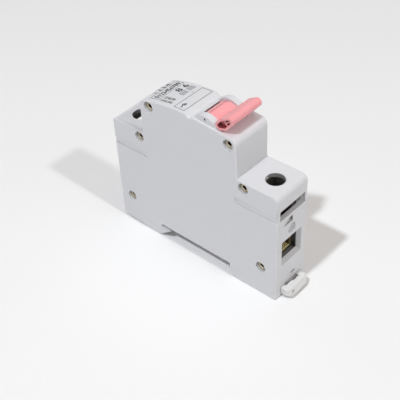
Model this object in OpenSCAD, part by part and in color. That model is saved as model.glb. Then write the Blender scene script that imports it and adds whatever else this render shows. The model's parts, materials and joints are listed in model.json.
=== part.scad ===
// Single-pole circuit breaker for a 35 mm DIN rail, modelled as its separate pieces.
// Origin: middle of the rail seat. +X points to the load end with the rail clip, +Y to the back
// wall of the base shell, +Z away from the rail to the toggle. The toggle rests at OFF.

/* [Housing] */
// Width of the housing across a row of devices
body_w = 17.6; // [17:0.1:18.2]
// Rail centre to the line end face
line_reach = 39.1; // [38:0.1:41]
// Rail centre to the load end face
load_reach = 39.7; // [39:0.1:41]
// Rail seat to the tops of the two shoulders
shoulder_h = 43.2; // [42.4:0.1:45]
// Rail seat down to the underside of the feet
foot_h = 5.9; // [5.6:0.1:6.6]
// Length of the nose that stands through a panel cut-out
nose_l = 45; // [44:0.1:46]
// Rail centre to the middle of the nose
nose_shift = -0.6; // [-1:0.1:0]
// Rail seat to the highest point of the label face
label_h = 61.2; // [60.6:0.1:62.4]
// Radius of the domed label face
label_r = 67; // [60:1:80]
// Rail seat to the platform's end over the load side
platform_h = 59.5; // [59:0.1:59.8]
// Thickness of the cover shell's plate
cover_t = 2; // [1.6:0.1:2.2]
// Thickness of the base shell's back wall
back_t = 2; // [1.6:0.1:2.2]
// Thickness of the walls round the mechanism
wall = 2; // [1.6:0.1:2.2]
// Thickness of the two end walls
end_wall = 1.8; // [1.6:0.1:2.2]
// Thickness of the partitions beside the terminal chambers
partition_t = 1.2; // [1:0.1:1.4]

/* [Rail notch and clip] */
// Width of the notch that takes the rail
rail_w = 35.4; // [35.2:0.1:35.8]
// Height of the groove that takes the rail's flange
rail_gap = 1.3; // [1.2:0.05:1.5]
// Length of the fixed hook under the rail's flange
hook_l = 4.5; // [3.5:0.1:4.8]
// Width of the rail clip
clip_w = 11.8; // [11:0.1:12.2]
// Thickness of the rail clip
clip_t = 3.1; // [2.9:0.05:3.3]
// Reach of the clip's jaw under the rail
clip_bite = 1.9; // [1.5:0.1:2.2]
// Reach of the clip's tail out of the load end
clip_tail = 4.6; // [4:0.1:5.5]

/* [Toggle] */
// Rail centre to the toggle's axis, along the rail
toggle_x = 7.6; // [7.3:0.1:7.9]
// Rail seat to the toggle's axis
toggle_z = 56.8; // [56.4:0.1:57.1]
// Radius of the toggle's drum
drum_r = 5.7; // [5.5:0.05:5.8]
// Length of the drum between the cheeks
drum_l = 10.6; // [10:0.1:10.7]
// Radius of the two cheeks beside the drum
cheek_r = 6.4; // [6.2:0.05:6.5]
// Length of the crossbar that the finger pushes
crossbar_l = 15.8; // [14.5:0.1:16.5]
// Toggle axis to the tip of the crossbar
crossbar_reach = 15.3; // [14.8:0.1:16]
// Radius of the trunnions that carry the toggle
trunnion_r = 1.6; // [1.4:0.05:1.8]
// Lean of the toggle at OFF, from upright to the load side
off_angle = 52.5; // [50:0.5:54]

/* [Terminals] */
// Line end face to the axis of its terminal screw
line_inset = 6.9; // [6.8:0.1:7.2]
// Load end face to the axis of its terminal screw
load_inset = 7.5; // [7.4:0.1:7.7]
// Radius of the screwdriver holes in the shoulders
access_r = 3.6; // [3.5:0.05:3.8]
// Radius of the terminal screws' heads
screw_head_r = 3.25; // [3:0.05:3.3]
// Height of the terminal screws' heads
screw_head_h = 2.7; // [2.3:0.1:2.8]
// Radius of the terminal screws' shanks
screw_r = 2.45; // [2.2:0.05:2.6]
// Length of the clamp cages along the wire
cage_l = 8; // [7.4:0.1:8.4]
// Width of the clamp cages
cage_w = 10.6; // [10:0.1:11]
// Thickness of the clamp cages' sheet
cage_t = 1.2; // [1:0.1:1.3]
// Rail seat to the underside of the cages when open
cage_z = 10.3; // [10.2:0.1:10.8]
// Free height in the cages for the wire when open
wire_gap = 8.9; // [8.4:0.1:9.2]
// Thickness of the terminal tongues
tongue_t = 1.5; // [1.3:0.1:1.7]

/* [Mechanism] */
// Rail centre to the contact carrier's axis, along the rail
carrier_x = 1.9; // [1.7:0.1:2.1]
// Tops of the shoulders down to the contact carrier's axis
carrier_drop = 5.1; // [5:0.05:5.2]
// Turn of the contact carrier from OFF to ON
carrier_turn = 18; // [16:0.5:19]
// Carrier axis down to the middle of the moving contact
contact_drop = 17.5; // [17:0.1:18]
// Radius of the pins that carry the levers
pin_r = 1; // [0.8:0.05:1.1]
// Toggle axis to the crank hole in the drum
crank_r = 4; // [3.8:0.05:4.1]
// Contact carrier's axis to the trip lever's, along the rail
trip_lag = 11; // [10.8:0.1:11.2]
// Tops of the shoulders down to the trip coil's axis
coil_drop = 12.7; // [12.4:0.1:12.9]
// Radius of the coil's wire
coil_wire_r = 0.65; // [0.5:0.05:0.7]
// Turns of the coil
coil_turns = 5; // [4:1:5]
// Number of splitter plates in the arc chute
plate_count = 9; // [6:1:9]
// Thickness of a splitter plate
plate_t = 0.8; // [0.6:0.05:0.9]
// Free length of the bimetal strip
bimetal_l = 27; // [25:0.5:28]

/* [Hidden] */
$fn = 48;

// Clearances, named once and used by every fit
running = 0.05;        // shaft in bore
slide_gap = 0.2;       // sliding faces
seat_gap = 0.1;        // a piece beside its seat
free_gap = 0.3;        // pieces that pass each other
cut = 1;               // overshoot of cutters past the faces they cut

// Planes across the width
near_y = -body_w / 2;
cover_y = near_y + cover_t;
far_y = body_w / 2;
back_y = far_y - back_t;

// Housing outline
nose_line = nose_shift - nose_l / 2;
nose_load = nose_shift + nose_l / 2;
seat_relief = 0.3;     // notch ceiling above the seat pad
rail_half = rail_w / 2;
load_corner_r = 2.3;
line_corner_r = 1;
nose_corner_r = 3;
dome_back = 23.3;                   // load side of the nose to the crown of the dome
label_x = nose_load - dome_back;
label_mid = [label_x, label_h - label_r];
vee_x = label_x + 2.3;              // valley between label and platform
vee_deep = 1.4;                     // of the valley, under the dome's crown
vee_z = label_h - vee_deep;
platform_top = label_h - 0.4;       // platform beside the valley
line_step = 13.2;                   // line end face to the foot's change of slope
foot_flat = [4.4, 1.2];             // ends of the line foot's flat, from the notch

// Places of the rivets, as distances from their common middle line
rivet_mid = -0.3;
rivet_nose = [18.6, platform_h - 3.1];
rivet_shoulder = [25, shoulder_h - 2.8];
rivet_foot = [32.9, 7.4];
rivet_spots = [for (s = [-1, 1], p = [rivet_nose, rivet_shoulder, rivet_foot]) [rivet_mid + s * p.x, p.y]];
rivet_r = 1.4;
rivet_hole_r = rivet_r + seat_gap;
rivet_head_r = 1.95;
rivet_sink_r = 2.15;
rivet_sink = 1.6;
rivet_head_t = 0.6;
rivet_eye_r = 0.8;
boss_r = 2.6;

// Terminal chambers
line_x = -line_reach + line_inset;
load_x = load_reach - load_inset;
chamber_l = 11.6;
line_wall = -line_reach + end_wall + chamber_l;      // chamber side of the partition
load_wall = load_reach - end_wall - chamber_l;
line_inside = line_wall + partition_t;               // mechanism side of the partition
load_inside = load_wall - partition_t;
chamber_floor = cage_z - 0.8;
cage_floor = cage_z + cage_t;
tongue_z = cage_floor + wire_gap;                    // underside of the tongues
tongue_top = tongue_z + tongue_t;
cage_top_t = 2.2;
cage_bend = 1;                                       // outer radius of the cages' bends
cage_lid = tongue_top + free_gap;                    // underside of the cage's threaded limb
cage_h = cage_lid + cage_top_t - cage_z;
screw_travel = 8.5;
head_z = cage_lid + cage_top_t + screw_travel + slide_gap;
tongue_w = cage_w - 2 * cage_t - 2 * free_gap;

// Openings of the end faces
bus_slot_z = [32, 36.5];
bus_slot_y = [near_y + 1.8, far_y - 1.3];
slot_sill = 0.9;                                     // wall left square over the slot; inside it is chamfered
slot_rib_t = 0.9;                                    // rib inside the end wall that ends the through slot
slot_rib_y = bus_slot_y[1] - 2.8;
groove_deep = 0.4;                                   // of the grooves along both side faces
break_through = 0.1;                                 // overshoot of the end walls' cuts into the chambers
entry_z = [chamber_floor + 0.2, tongue_z + 0.7];     // mouth of the funnel
entry_y = [-5.6, 6.1];
entry_rise = 1;                                      // how much the funnel's floor climbs
entry_narrow = 0.7;                                  // how much each side closes in
mark_deep = 1.2;                                     // of the wedge and the disc between slot and funnel
mark_wedge_y = [-4.8, 0.4];
mark_wedge_z = [28.1, 30.6];
mark_disc_z = 24.7;
mark_disc_r = 2.2;
slit_y = [0.2, 2.9];                                 // slit low on the end faces, with a pin hole
slit_z = [1.6, 2.2];
slit_deep = 1.5;

// Toggle
drum_gap = 0.25;
cheek_y = drum_l / 2 + seat_gap;                     // inner face of each cheek
cheek_ledge = 0.85;                                  // platform left outside each cheek
cheek_t = far_y - cheek_ledge - cheek_y;
cheek_hole_r = 0.45;
cheek_hole_up = 5.1;                                 // toggle axis to the blind hole in each cheek
cheek_hole_deep = 1;
trunnion_l = 1.4;
crossbar_root = [-0.2, 8.45];
crossbar_mid = [-0.1, 10.4];
crossbar_tip_r = 1.6;
crossbar_end = [-0.2, crossbar_reach - crossbar_tip_r];
crank_angle = 186.8;                                 // from the crossbar, about the toggle's axis
crank_hole_r = 0.65;
link_r = 0.6;
ear_w = 3;
crank_off = off_angle + crank_angle;
crank_at = [toggle_x + crank_r * sin(crank_off), toggle_z + crank_r * cos(crank_off)];

// Contact carrier
carrier_at = [carrier_x, shoulder_h - carrier_drop];
trip_at = carrier_at + [trip_lag, -2];
lever_pin = carrier_at + [-0.8, 6.95];
contact_x = carrier_at.x - 1;                        // middle of the moving contact's arm at OFF
contact_z = carrier_at.y - contact_drop;
pin_seat_h = 0.4;                                    // raised seats round the lever pins
pin_deep = 0.8;                                      // depth of the pins' holes in the shells
lever_coil_l = 2.2;                                  // length of the springs on the pins
main_wire = 0.3;
trip_wire = 0.25;
carrier_half = back_y - pin_seat_h - lever_coil_l - 2 * main_wire - slide_gap;   // half width of the hub
trip_half = carrier_half - 0.4;
carrier_hub_r = 2.5;
holder_h = 8;                                        // carrier's axis to the underside of its arm holder
trip_hub_r = 2.1;
arm_t = 1.5;
arm_w = 4;
tip_t = 1.2;
tip_r = 2;
contact_gap = 0.15;                                  // left between the contacts at ON
fixed_t = 1.2;
fixed_face = contact_x - arm_t / 2 - 2 * tip_t - contact_gap;   // before it is swung to its place
fixed_top = contact_z + 6;
// X at height z of a plane of the fixed contact that stood at x before it was swung
function swung_x(x, z) = carrier_at.x
    + (x - carrier_at.x + (z - carrier_at.y) * sin(carrier_turn)) / cos(carrier_turn);
function fixed_back(z) = swung_x(fixed_face - fixed_t, z);

// Trip coil
coil_z = shoulder_h - coil_drop;
yoke_line_gap = 2.1;                                 // partition to the coil's frame
yoke_contact_gap = 10.3;                             // frame to the contact carrier's axis
yoke_x = [line_inside + yoke_line_gap, carrier_at.x - yoke_contact_gap];
yoke_t = 1.2;
yoke_w = 8;
yoke_top = coil_z + 7;
yoke_low = coil_z - 5.5;
bobbin_x = [yoke_x[0] + yoke_t + seat_gap, yoke_x[1] - yoke_t - seat_gap];
plunger_r = 2.5;
plunger_stroke = 2.4;
bobbin_bore_r = plunger_r + seat_gap;
bobbin_r = bobbin_bore_r + 0.7;
bobbin_flange_r = 5.2;
bobbin_flange_t = 0.8;
coil_r = bobbin_r + coil_wire_r + 0.15;
plunger_x = [yoke_x[0] - 0.5, yoke_x[0] + 5.2];
core_x = plunger_x[1] + plunger_stroke + 1.6;
plunger_pin_r = 0.75;
plunger_pin_end = yoke_x[1] + 2.4;
lead_z = yoke_low - coil_wire_r - 0.2;
lead_x = [yoke_x[0] + 3.4, yoke_x[1] - 3.4];

// Arc chute
chute_x = [yoke_x[0] - 0.4, yoke_x[1] - 1.4];
chute_w = body_w - 7;
chute_floor = seat_relief + wall;
chute_wall_t = 0.8;
plate_tab_l = 2.6;                                   // tabs that hold the plates in the fibre walls
plate_tab_x = [chute_x[0] + 2, chute_x[1] - 2 - plate_tab_l];
plate_notch_l = 6.4;                                 // notch of the plates towards the contacts
plate_notch_w = 4.4;
first_plate = chute_floor + 2;
horn_t = 1;
horn_gap = 2;                                        // free height between the horn and the coil's lead
horn_z = lead_z - coil_wire_r - horn_gap - horn_t;
chute_top = horn_z - 0.6;
plate_pitch = (chute_top - plate_t - first_plate) / (plate_count - 1);

// Bimetal
strap_x = load_inside - 2.7;                         // load strap's upright
bimetal_x = strap_x - 3.6;
strap_floor = chute_floor + 2.6;
bimetal_t = 0.8;
bimetal_w = 5;
calibration_z = strap_floor + 8;
braid_drop = 12;                                     // carrier's axis down to the braid's first end
braid_below = 6;                                     // bimetal's tip down to the braid's second end

// Rail clip
clip_y = [near_y + 3.2, near_y + 3.2 + clip_w];
clip_mid_y = (clip_y[0] + clip_y[1]) / 2;
clip_top = -rail_gap + seat_relief - free_gap;
clip_low = clip_top - clip_t;
clip_x = [rail_half - clip_bite, load_reach + clip_tail];
clip_window = [rail_half + 6.8, load_reach - 2.8];
stop_x = [clip_window[1] - free_gap - 1.6, clip_window[1] - free_gap];
window_w = 6.6;
loop_x = [load_reach - 0.5, load_reach + 1.3];
loop_w = 7.4;
loop_step = 0.5;                                     // the loop's near half is narrower by this
clip_slope = 1.2;                                    // lean of the tail's outer face
clip_edge_r = 0.6;                                   // rounded edge under the tail
clip_corner_r = 2.7;                                 // plan corners of the tail

// ---- drawing helpers ----

// A flat outline in X and Z, thickened from y[0] to y[1]
module slab(y) {
    translate([0, y[1], 0]) rotate([90, 0, 0]) linear_extrude(y[1] - y[0]) children();
}

// A box between two values on each axis
module block(x, y, z) {
    translate([x[0], y[0], z[0]]) cube([x[1] - x[0], y[1] - y[0], z[1] - z[0]]);
}

// A round bar along Y, its middle at p = [x, z]
module axle(p, r, y) {
    translate([p.x, y[1], p.y]) rotate([90, 0, 0]) cylinder(r = r, h = y[1] - y[0]);
}

// A round bar along X, its middle at p = [y, z]
module spindle(p, r, x) {
    translate([x[0], p.x, p.y]) rotate([0, 90, 0]) cylinder(r = r, h = x[1] - x[0]);
}

// Outline round two circles of radius ra at a and rb at b
module capsule(a, ra, b, rb) {
    way = b - a;
    heading = atan2(way.y, way.x);
    lean = acos((ra - rb) / norm(way));
    function rim(c, r, side) = c + r * [cos(heading + side * lean), sin(heading + side * lean)];
    translate(a) circle(ra);
    translate(b) circle(rb);
    polygon([rim(a, ra, -1), rim(b, rb, -1), rim(b, rb, 1), rim(a, ra, 1)]);
}

// Points of an arc from angle a0 to a1
function arc(mid, r, a0, a1, steps = 8) =
    [for (i = [0:steps]) let (a = a0 + (a1 - a0) * i / steps) mid + r * [cos(a), sin(a)]];

// A wire wound round the Z axis, starting at angle start
module helix(r, wire, turns, length, start = 0, steps = 12, sides = 6) {
    rings = round(turns * steps);
    points = [for (i = [0:rings], s = [0:sides - 1])
        let (a = start + 360 * turns * i / rings, b = 360 * s / sides, reach = r + wire * cos(b))
        [reach * cos(a), reach * sin(a), length * i / rings + wire * sin(b)]];
    skin = [for (i = [0:rings - 1], s = [0:sides - 1]) let (t = (s + 1) % sides)
        [i * sides + s, i * sides + t, (i + 1) * sides + t, (i + 1) * sides + s]];
    ends = [[for (s = [sides - 1:-1:0]) s], [for (s = [0:sides - 1]) rings * sides + s]];
    polyhedron(points, concat(skin, ends), convexity = 10);
}

// A round tube along a list of points that lie in the X-Z plane
module cable(route, r, sides = 8) {
    last = len(route) - 1;
    function way(i) = let (d = route[min(i + 1, last)] - route[max(i - 1, 0)]) d / norm(d);
    points = [for (i = [0:last], s = [0:sides - 1])
        let (b = 360 * s / sides, across = [-way(i).y, way(i).x] * r * cos(b))
        [route[i].x + across.x, r * sin(b), route[i].y + across.y]];
    skin = [for (i = [0:last - 1], s = [0:sides - 1]) let (t = (s + 1) % sides)
        [i * sides + s, (i + 1) * sides + s, (i + 1) * sides + t, i * sides + t]];
    ends = [[for (s = [0:sides - 1]) s], [for (s = [sides - 1:-1:0]) last * sides + s]];
    polyhedron(points, concat(skin, ends), convexity = 6);
}

// Turns its children about the carrier's axis, as the toggle does on its way to ON
module carrier_swing(angle) {
    translate([carrier_at.x, 0, carrier_at.y]) rotate([0, angle, 0])
        translate([-carrier_at.x, 0, -carrier_at.y]) children();
}

// ---- housing ----

// Outline that both shells share, with the rail notch and the fixed hook
module housing_outline() {
    polygon(concat(
        [[-line_reach, -foot_h + 1.2], [-line_reach + line_step, -foot_h + 0.5],
         [-rail_half - foot_flat[0], -foot_h], [-rail_half - foot_flat[1], -foot_h],
         [-rail_half + hook_l, seat_relief - rail_gap - 0.35], [-rail_half + hook_l, seat_relief - rail_gap],
         [-rail_half, seat_relief - rail_gap], [-rail_half, seat_relief], [rail_half, seat_relief],
         [rail_half, clip_top + 0.3]],
        arc([rail_half + 4.5, clip_top + 0.3], 4.5, 180, 225, 4),
        [[rail_half + 1.9, -foot_h], [load_reach - 0.5, -foot_h], [load_reach, -foot_h + 0.5]],
        arc([load_reach - load_corner_r, shoulder_h - load_corner_r], load_corner_r, 0, 90),
        [[nose_load, shoulder_h]],
        arc([nose_load - nose_corner_r, platform_h - nose_corner_r], nose_corner_r, 0, 85),
        [[vee_x + 1.7, platform_top], [vee_x + 1.2, platform_top - 0.1], [vee_x, vee_z - 0.05],
         [vee_x - 1.1, label_h - 0.3]],
        arc(label_mid, label_r, 90, 90 + asin((label_x - nose_line - 0.6) / label_r), 12),
        [[nose_line, label_mid.y + sqrt(pow(label_r, 2) - pow(label_x - nose_line, 2)) - 0.5],
         [nose_line, shoulder_h]],
        arc([-line_reach + line_corner_r, shoulder_h - line_corner_r], line_corner_r, 90, 180, 5)));
}

// Room for the mechanism: middle bay, and the nose above it
module mechanism_room() {
    polygon(concat(
        [[line_inside, chute_floor], [load_inside, chute_floor], [load_inside, shoulder_h - wall],
         [nose_load - wall, shoulder_h - wall], [nose_load - wall, platform_h - wall - 1],
         [nose_load - wall - 1.5, platform_h - wall], [vee_x + 1.5, platform_h - wall + 0.6],
         [vee_x, vee_z - wall]],
        arc(label_mid, label_r - wall, 90, 90 + asin((label_x - nose_line - wall) / (label_r - wall)), 8),
        [[nose_line + wall, shoulder_h - wall], [line_inside, shoulder_h - wall]]));
}

// Shallow groove along one side face, from the shoulder's end to the nose
module side_grooves(y) {
    groove_z = [bus_slot_z[0] + 0.1, bus_slot_z[0] + 2.5];
    block([-line_reach - cut, nose_line + 1], y, groove_z);
    block([nose_load - 1, load_reach + cut], y, groove_z);
}

// What is cut into one end face; dir is 1 at the load end and -1 at the line end
module end_face_cuts(face_x, dir) {
    module reach(deep) { translate([face_x, 0, 0]) scale([dir, 1, 1]) translate([-deep, 0, 0]) children(); }
    deep = end_wall + break_through;
    // busbar slot, its upper edge chamfered on the inside
    reach(deep) slab(bus_slot_y) polygon([
        [0, bus_slot_z[0]], [deep + cut, bus_slot_z[0]], [deep + cut, bus_slot_z[1]],
        [deep - slot_sill, bus_slot_z[1]], [0, bus_slot_z[1] + deep - slot_sill]]);
    // funnel for the wire: tapered in both views
    reach(deep) intersection() {
        slab([-body_w, body_w]) polygon([
            [0, entry_z[0] + entry_rise], [deep - end_wall, entry_z[0] + entry_rise], [deep, entry_z[0]],
            [deep + cut, entry_z[0]], [deep + cut, entry_z[1]], [0, entry_z[1]]]);
        linear_extrude(2 * entry_z[1]) polygon([[0, entry_y[0] + entry_narrow],
            [deep - end_wall, entry_y[0] + entry_narrow], [deep, entry_y[0]], [deep + cut, entry_y[0]],
            [deep + cut, entry_y[1]], [deep, entry_y[1]], [deep - end_wall, entry_y[1] - entry_narrow],
            [0, entry_y[1] - entry_narrow]]);
    }
    // marks that the moulding has between slot and funnel: a wedge that deepens to the back, and a disc
    reach(mark_deep) translate([0, 0, mark_wedge_z[0]]) linear_extrude(mark_wedge_z[1] - mark_wedge_z[0])
        polygon([[mark_deep, mark_wedge_y[0]], [mark_deep + cut, mark_wedge_y[0]],
                 [mark_deep + cut, mark_wedge_y[1]], [0, mark_wedge_y[1]]]);
    reach(mark_deep) spindle([0.1, mark_disc_z], mark_disc_r, [0, mark_deep + cut]);
    // narrow slit with a small pin hole, low on the face
    reach(groove_deep) block([0, groove_deep + cut], slit_y, slit_z);
    reach(slit_deep) block([0, slit_deep + cut], [slit_y[1] - 0.9, slit_y[1]], slit_z);
}

// One terminal chamber, from the base's open side to the back wall
module chamber(x) {
    block(x, [cover_y - cut, back_y], [chamber_floor, shoulder_h - wall]);
}

// Screwdriver hole with its broken edge
module access_hole(x) {
    edge = 0.3;
    translate([x, 0, shoulder_h - wall - cut]) cylinder(r = access_r, h = wall + 2 * cut);
    translate([x, 0, shoulder_h - edge]) cylinder(r1 = access_r, r2 = access_r + 2 * edge, h = 2 * edge);
}

// Counterbored holes for the six rivets through one shell, its outer face at y
module rivet_holes(y, dir) {
    for (p = rivet_spots) {
        axle(p, rivet_hole_r, [near_y - cut, far_y + cut]);
        axle(p, rivet_sink_r, dir > 0 ? [y - rivet_sink, y + cut] : [y - cut, y + rivet_sink]);
    }
}

// Small blind hole in the outer face of a cheek, high above the toggle's axis
module cheek_hole(y) {
    axle([toggle_x, toggle_z + cheek_hole_up], cheek_hole_r, y);
}

// Place and cross-section of the slot for the rail clip
module clip_channel() {
    block([0, load_reach + cut], [clip_y[0] - slide_gap, clip_y[1] + slide_gap],
          [clip_low - slide_gap, clip_top + slide_gap]);
}

module base_shell() color([0.8, 0.81, 0.83]) {
    pocket_floor = 1.2;
    pocket_top = chamber_floor - 1.2;
    difference() {
        union() {
            difference() {
                slab([cover_y, far_y]) housing_outline();
                slab([cover_y - cut, back_y]) mechanism_room();
                chamber([-line_reach + end_wall, line_wall]);
                chamber([load_wall, load_reach - end_wall]);
                // lightening pockets under the two chambers
                block([-line_reach + end_wall, line_wall], [cover_y - cut, back_y], [pocket_floor, pocket_top]);
                block([load_wall, load_reach - end_wall], [cover_y - cut, back_y], [pocket_floor, pocket_top]);
                // the toggle's drum and the cover's cheek come up through the platform
                axle([toggle_x, toggle_z], drum_r + drum_gap, [-cheek_y, cheek_y]);
                axle([toggle_x, toggle_z], cheek_r + seat_gap, [cover_y - cut, -cheek_y]);
                // the toggle's neck dips into the platform at OFF
                block([toggle_x, toggle_x + drum_r + 0.7], [-cheek_y, cheek_y], [toggle_z + 1.5, label_h]);
                // way for the link, from the drum down into the mechanism's room
                block([toggle_x - drum_r, toggle_x], [-ear_w, ear_w + link_r], [platform_h - wall - cut, toggle_z]);
            }
            for (p = rivet_spots) axle(p, boss_r, [cover_y, back_y + cut]);
            // ribs behind the far part of the busbar slots
            for (x = [[-line_reach + end_wall - cut, -line_reach + end_wall + slot_rib_t],
                      [load_reach - end_wall - slot_rib_t, load_reach - end_wall + cut]])
                block(x, [slot_rib_y, back_y + cut], [bus_slot_z[0] - cut, shoulder_h - wall + cut]);
            // far cheek with the toggle's bearing
            axle([toggle_x, toggle_z], cheek_r, [cheek_y, cheek_y + cheek_t]);
            // seats of the two lever pins in the back wall
            for (p = [carrier_at, trip_at]) axle(p, 2 * pin_r, [back_y - pin_seat_h, back_y + cut]);
            // raised pad that meets the rail
            block([-rail_half + hook_l + 0.8, clip_x[0] - 1.4], [cover_y, far_y], [0, seat_relief + cut]);
            // post that holds the toggle spring's fixed leg
            axle([toggle_x - 7.5, toggle_z - 5.2], 1.1, [0, back_y + cut]);
        }
        rivet_holes(far_y, 1);
        access_hole(line_x);
        access_hole(load_x);
        end_face_cuts(load_reach, 1);
        end_face_cuts(-line_reach, -1);
        side_grooves([far_y - groove_deep, far_y + cut]);
        cheek_hole([far_y - cheek_ledge - cheek_hole_deep, far_y]);
        // slots in the partitions for the two tongues
        for (x = [[line_wall - cut, line_inside + cut], [load_inside - cut, load_wall + cut]])
            block(x, [-tongue_w / 2 - seat_gap, tongue_w / 2 + seat_gap],
                  [tongue_z - seat_gap, tongue_top + seat_gap]);
        // bearings
        axle([toggle_x, toggle_z], trunnion_r + running, [cheek_y - cut, drum_l / 2 + trunnion_l + seat_gap]);
        for (p = [carrier_at, trip_at]) axle(p, pin_r, [back_y - cut, back_y + pin_deep]);
        // the rail clip's channel, and the window under its spring
        difference() {
            clip_channel();
            block(stop_x, [clip_mid_y - 2, clip_mid_y + 2], [clip_low - cut, clip_top + cut]);
        }
        block([rail_half + 6, stop_x[0] - 1], [clip_mid_y - 2.5, clip_mid_y + 2.5], [-foot_h - cut, clip_low]);
    }
}

module cover_shell() color([0.82, 0.83, 0.85]) difference() {
    union() {
        slab([near_y, cover_y]) housing_outline();
        // near cheek with the toggle's bearing
        axle([toggle_x, toggle_z], cheek_r, [-cheek_y - cheek_t, -cheek_y]);
        // seats of the two lever pins
        for (p = [carrier_at, trip_at]) axle(p, 2 * pin_r, [cover_y - cut, cover_y + pin_seat_h]);
    }
    rivet_holes(near_y, -1);
    side_grooves([near_y - cut, near_y + groove_deep]);
    cheek_hole([near_y, near_y + cheek_ledge + cheek_hole_deep]);
    end_face_cuts(load_reach, 1);
    end_face_cuts(-line_reach, -1);
    axle([toggle_x, toggle_z], trunnion_r + running, [-drum_l / 2 - trunnion_l - seat_gap, -cheek_y + cut]);
    for (p = [carrier_at, trip_at]) axle(p, pin_r, [cover_y - pin_deep, cover_y + cut]);
}

// Hollow rivets: a tube with a rolled head in each counterbore
module rivets() color([0.78, 0.72, 0.58]) for (p = rivet_spots) difference() {
    union() {
        axle(p, rivet_r, [near_y + rivet_sink - rivet_head_t, far_y - rivet_sink + rivet_head_t]);
        axle(p, rivet_head_r, [near_y + rivet_sink - rivet_head_t, near_y + rivet_sink]);
        axle(p, rivet_head_r, [far_y - rivet_sink, far_y - rivet_sink + rivet_head_t]);
    }
    axle(p, rivet_eye_r, [near_y, far_y]);
}

// ---- toggle ----

// Side view of the crossbar, drawn upright over the toggle's axis
module crossbar_outline(inset = 0) {
    capsule(crossbar_root, 1.75 - inset, crossbar_mid, 2.25 - inset);
    capsule(crossbar_mid, 2.25 - inset, crossbar_end, crossbar_tip_r - inset);
}

module toggle() color([0.98, 0.66, 0.69]) translate([toggle_x, 0, toggle_z]) rotate([0, off_angle, 0]) {
    half = drum_l / 2;
    floor_cut = 1.5;
    step_x = -0.8;
    step_h = 0.35;
    neck_r = 1.35;
    skin = 0.85;
    ear = [-ear_w / 2, ear_w / 2];
    crank = crank_r * [sin(crank_angle), cos(crank_angle)];
    difference() {
        union() {
            // drum, open below where the link works
            difference() {
                axle([0, 0], drum_r, [-half, half]);
                rotate([0, -10, 0]) block([-2 * drum_r, 2 * drum_r], [-half - cut, half + cut],
                                          [-2 * drum_r, -floor_cut]);
                // low step along the drum's crown, with a notch at its far end
                rotate([0, -off_angle, 0]) {
                    difference() {
                        axle([0, 0], drum_r + cut, [-half - cut, half + cut]);
                        axle([0, 0], drum_r - step_h, [-half - 2 * cut, half + 2 * cut]);
                        block([step_x, 3 * drum_r], [-2 * half, 2 * half], [-2 * drum_r, 2 * drum_r]);
                        block([-3 * drum_r, 3 * drum_r], [-2 * half, 2 * half], [-3 * drum_r, 0]);
                    }
                    block([step_x - 0.2, step_x + 1], [half - 0.9, half + cut],
                          [drum_r - 0.8, drum_r + cut]);
                }
            }
            // hub, trunnions and crank ear
            axle([0, 0], trunnion_r + 1, [-half, half]);
            axle([0, 0], trunnion_r, [-half - trunnion_l, half + trunnion_l]);
            slab(ear) capsule([0, 0], 2.6, crank, 1.5);
            // neck and crossbar
            slab([-half + 0.1, half - 0.1]) capsule([0, 2], neck_r + 0.01, crossbar_root, neck_r);
            slab([-crossbar_l / 2, crossbar_l / 2]) crossbar_outline();
        }
        axle(crank, crank_hole_r, [-ear_w, ear_w]);
        // room for the spring round the hub, open to the near cheek
        difference() {
            axle([0, 0], trunnion_r + 2.2, [-half - cut, -half + 3.2]);
            axle([0, 0], trunnion_r + 1, [-half - 2 * cut, half]);
        }
        // hollow ends of the crossbar, each with two crossed ribs that stop short of the end face
        for (s = [-1, 1]) difference() {
            slab(s > 0 ? [half + 0.6, crossbar_l] : [-crossbar_l, -half - 0.6]) crossbar_outline(skin);
            slab([-crossbar_l / 2 + skin, crossbar_l / 2 - skin]) {
                translate([-2 * crossbar_tip_r, crossbar_mid.y + 0.3]) square([4 * crossbar_tip_r, 0.7]);
                translate([-0.4, crossbar_mid.y]) square([0.7, crossbar_reach]);
            }
        }
    }
}

// Returns the toggle to OFF when the breaker trips
module toggle_spring() color([0.7, 0.7, 0.72]) {
    coil_l = 2.4;
    y = drum_l / 2 - 0.4;
    r = trunnion_r + 1 + 0.5;
    wire = 0.3;
    translate([toggle_x, -y, toggle_z]) rotate([-90, 0, 0]) helix(r, wire, 3.5, coil_l);
}

// Bent wire between the drum's crank hole and the carrier's lever
module link_wire() color([0.72, 0.72, 0.74]) {
    side_y = ear_w / 2 + 0.5 + link_r;
    way = lever_pin - crank_at;
    for (p = [crank_at, lever_pin]) axle(p, link_r, [-ear_w / 2 - 0.6, side_y + link_r]);
    translate([crank_at.x, side_y, crank_at.y]) rotate([0, atan2(way.x, way.y), 0])
        cylinder(r = link_r - 0.03, h = norm(way));
}

// ---- contacts ----

module contact_carrier() color([0.16, 0.16, 0.17]) difference() {
    union() {
        axle(carrier_at, carrier_hub_r, [-carrier_half, carrier_half]);
        slab([-ear_w / 2, ear_w / 2]) capsule(carrier_at, carrier_hub_r, lever_pin, 1.6);
        // holder of the contact arm, and the nose that the trip lever catches
        slab([0.2 - carrier_half, carrier_half - 0.2])
            polygon([carrier_at + [-2.4, 0], carrier_at + [2.4, 0],
                     [contact_x + 3.2, carrier_at.y - holder_h], [contact_x - 1.6, carrier_at.y - holder_h]]);
        slab([-ear_w / 2, ear_w / 2]) capsule(carrier_at, 2.2, carrier_at + [3.6, 1.9], 0.9);
    }
    axle(carrier_at, pin_r + running, [-carrier_half - cut, carrier_half + cut]);
    // slot that lets the link run ahead of the carrier in mid travel
    slab([-ear_w, ear_w])
        capsule(lever_pin + [0.05, 0.2], link_r + 0.2, lever_pin + [-0.2, -1.5], link_r + 0.19);
    moving_arm_body(seat_gap);
}

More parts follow.
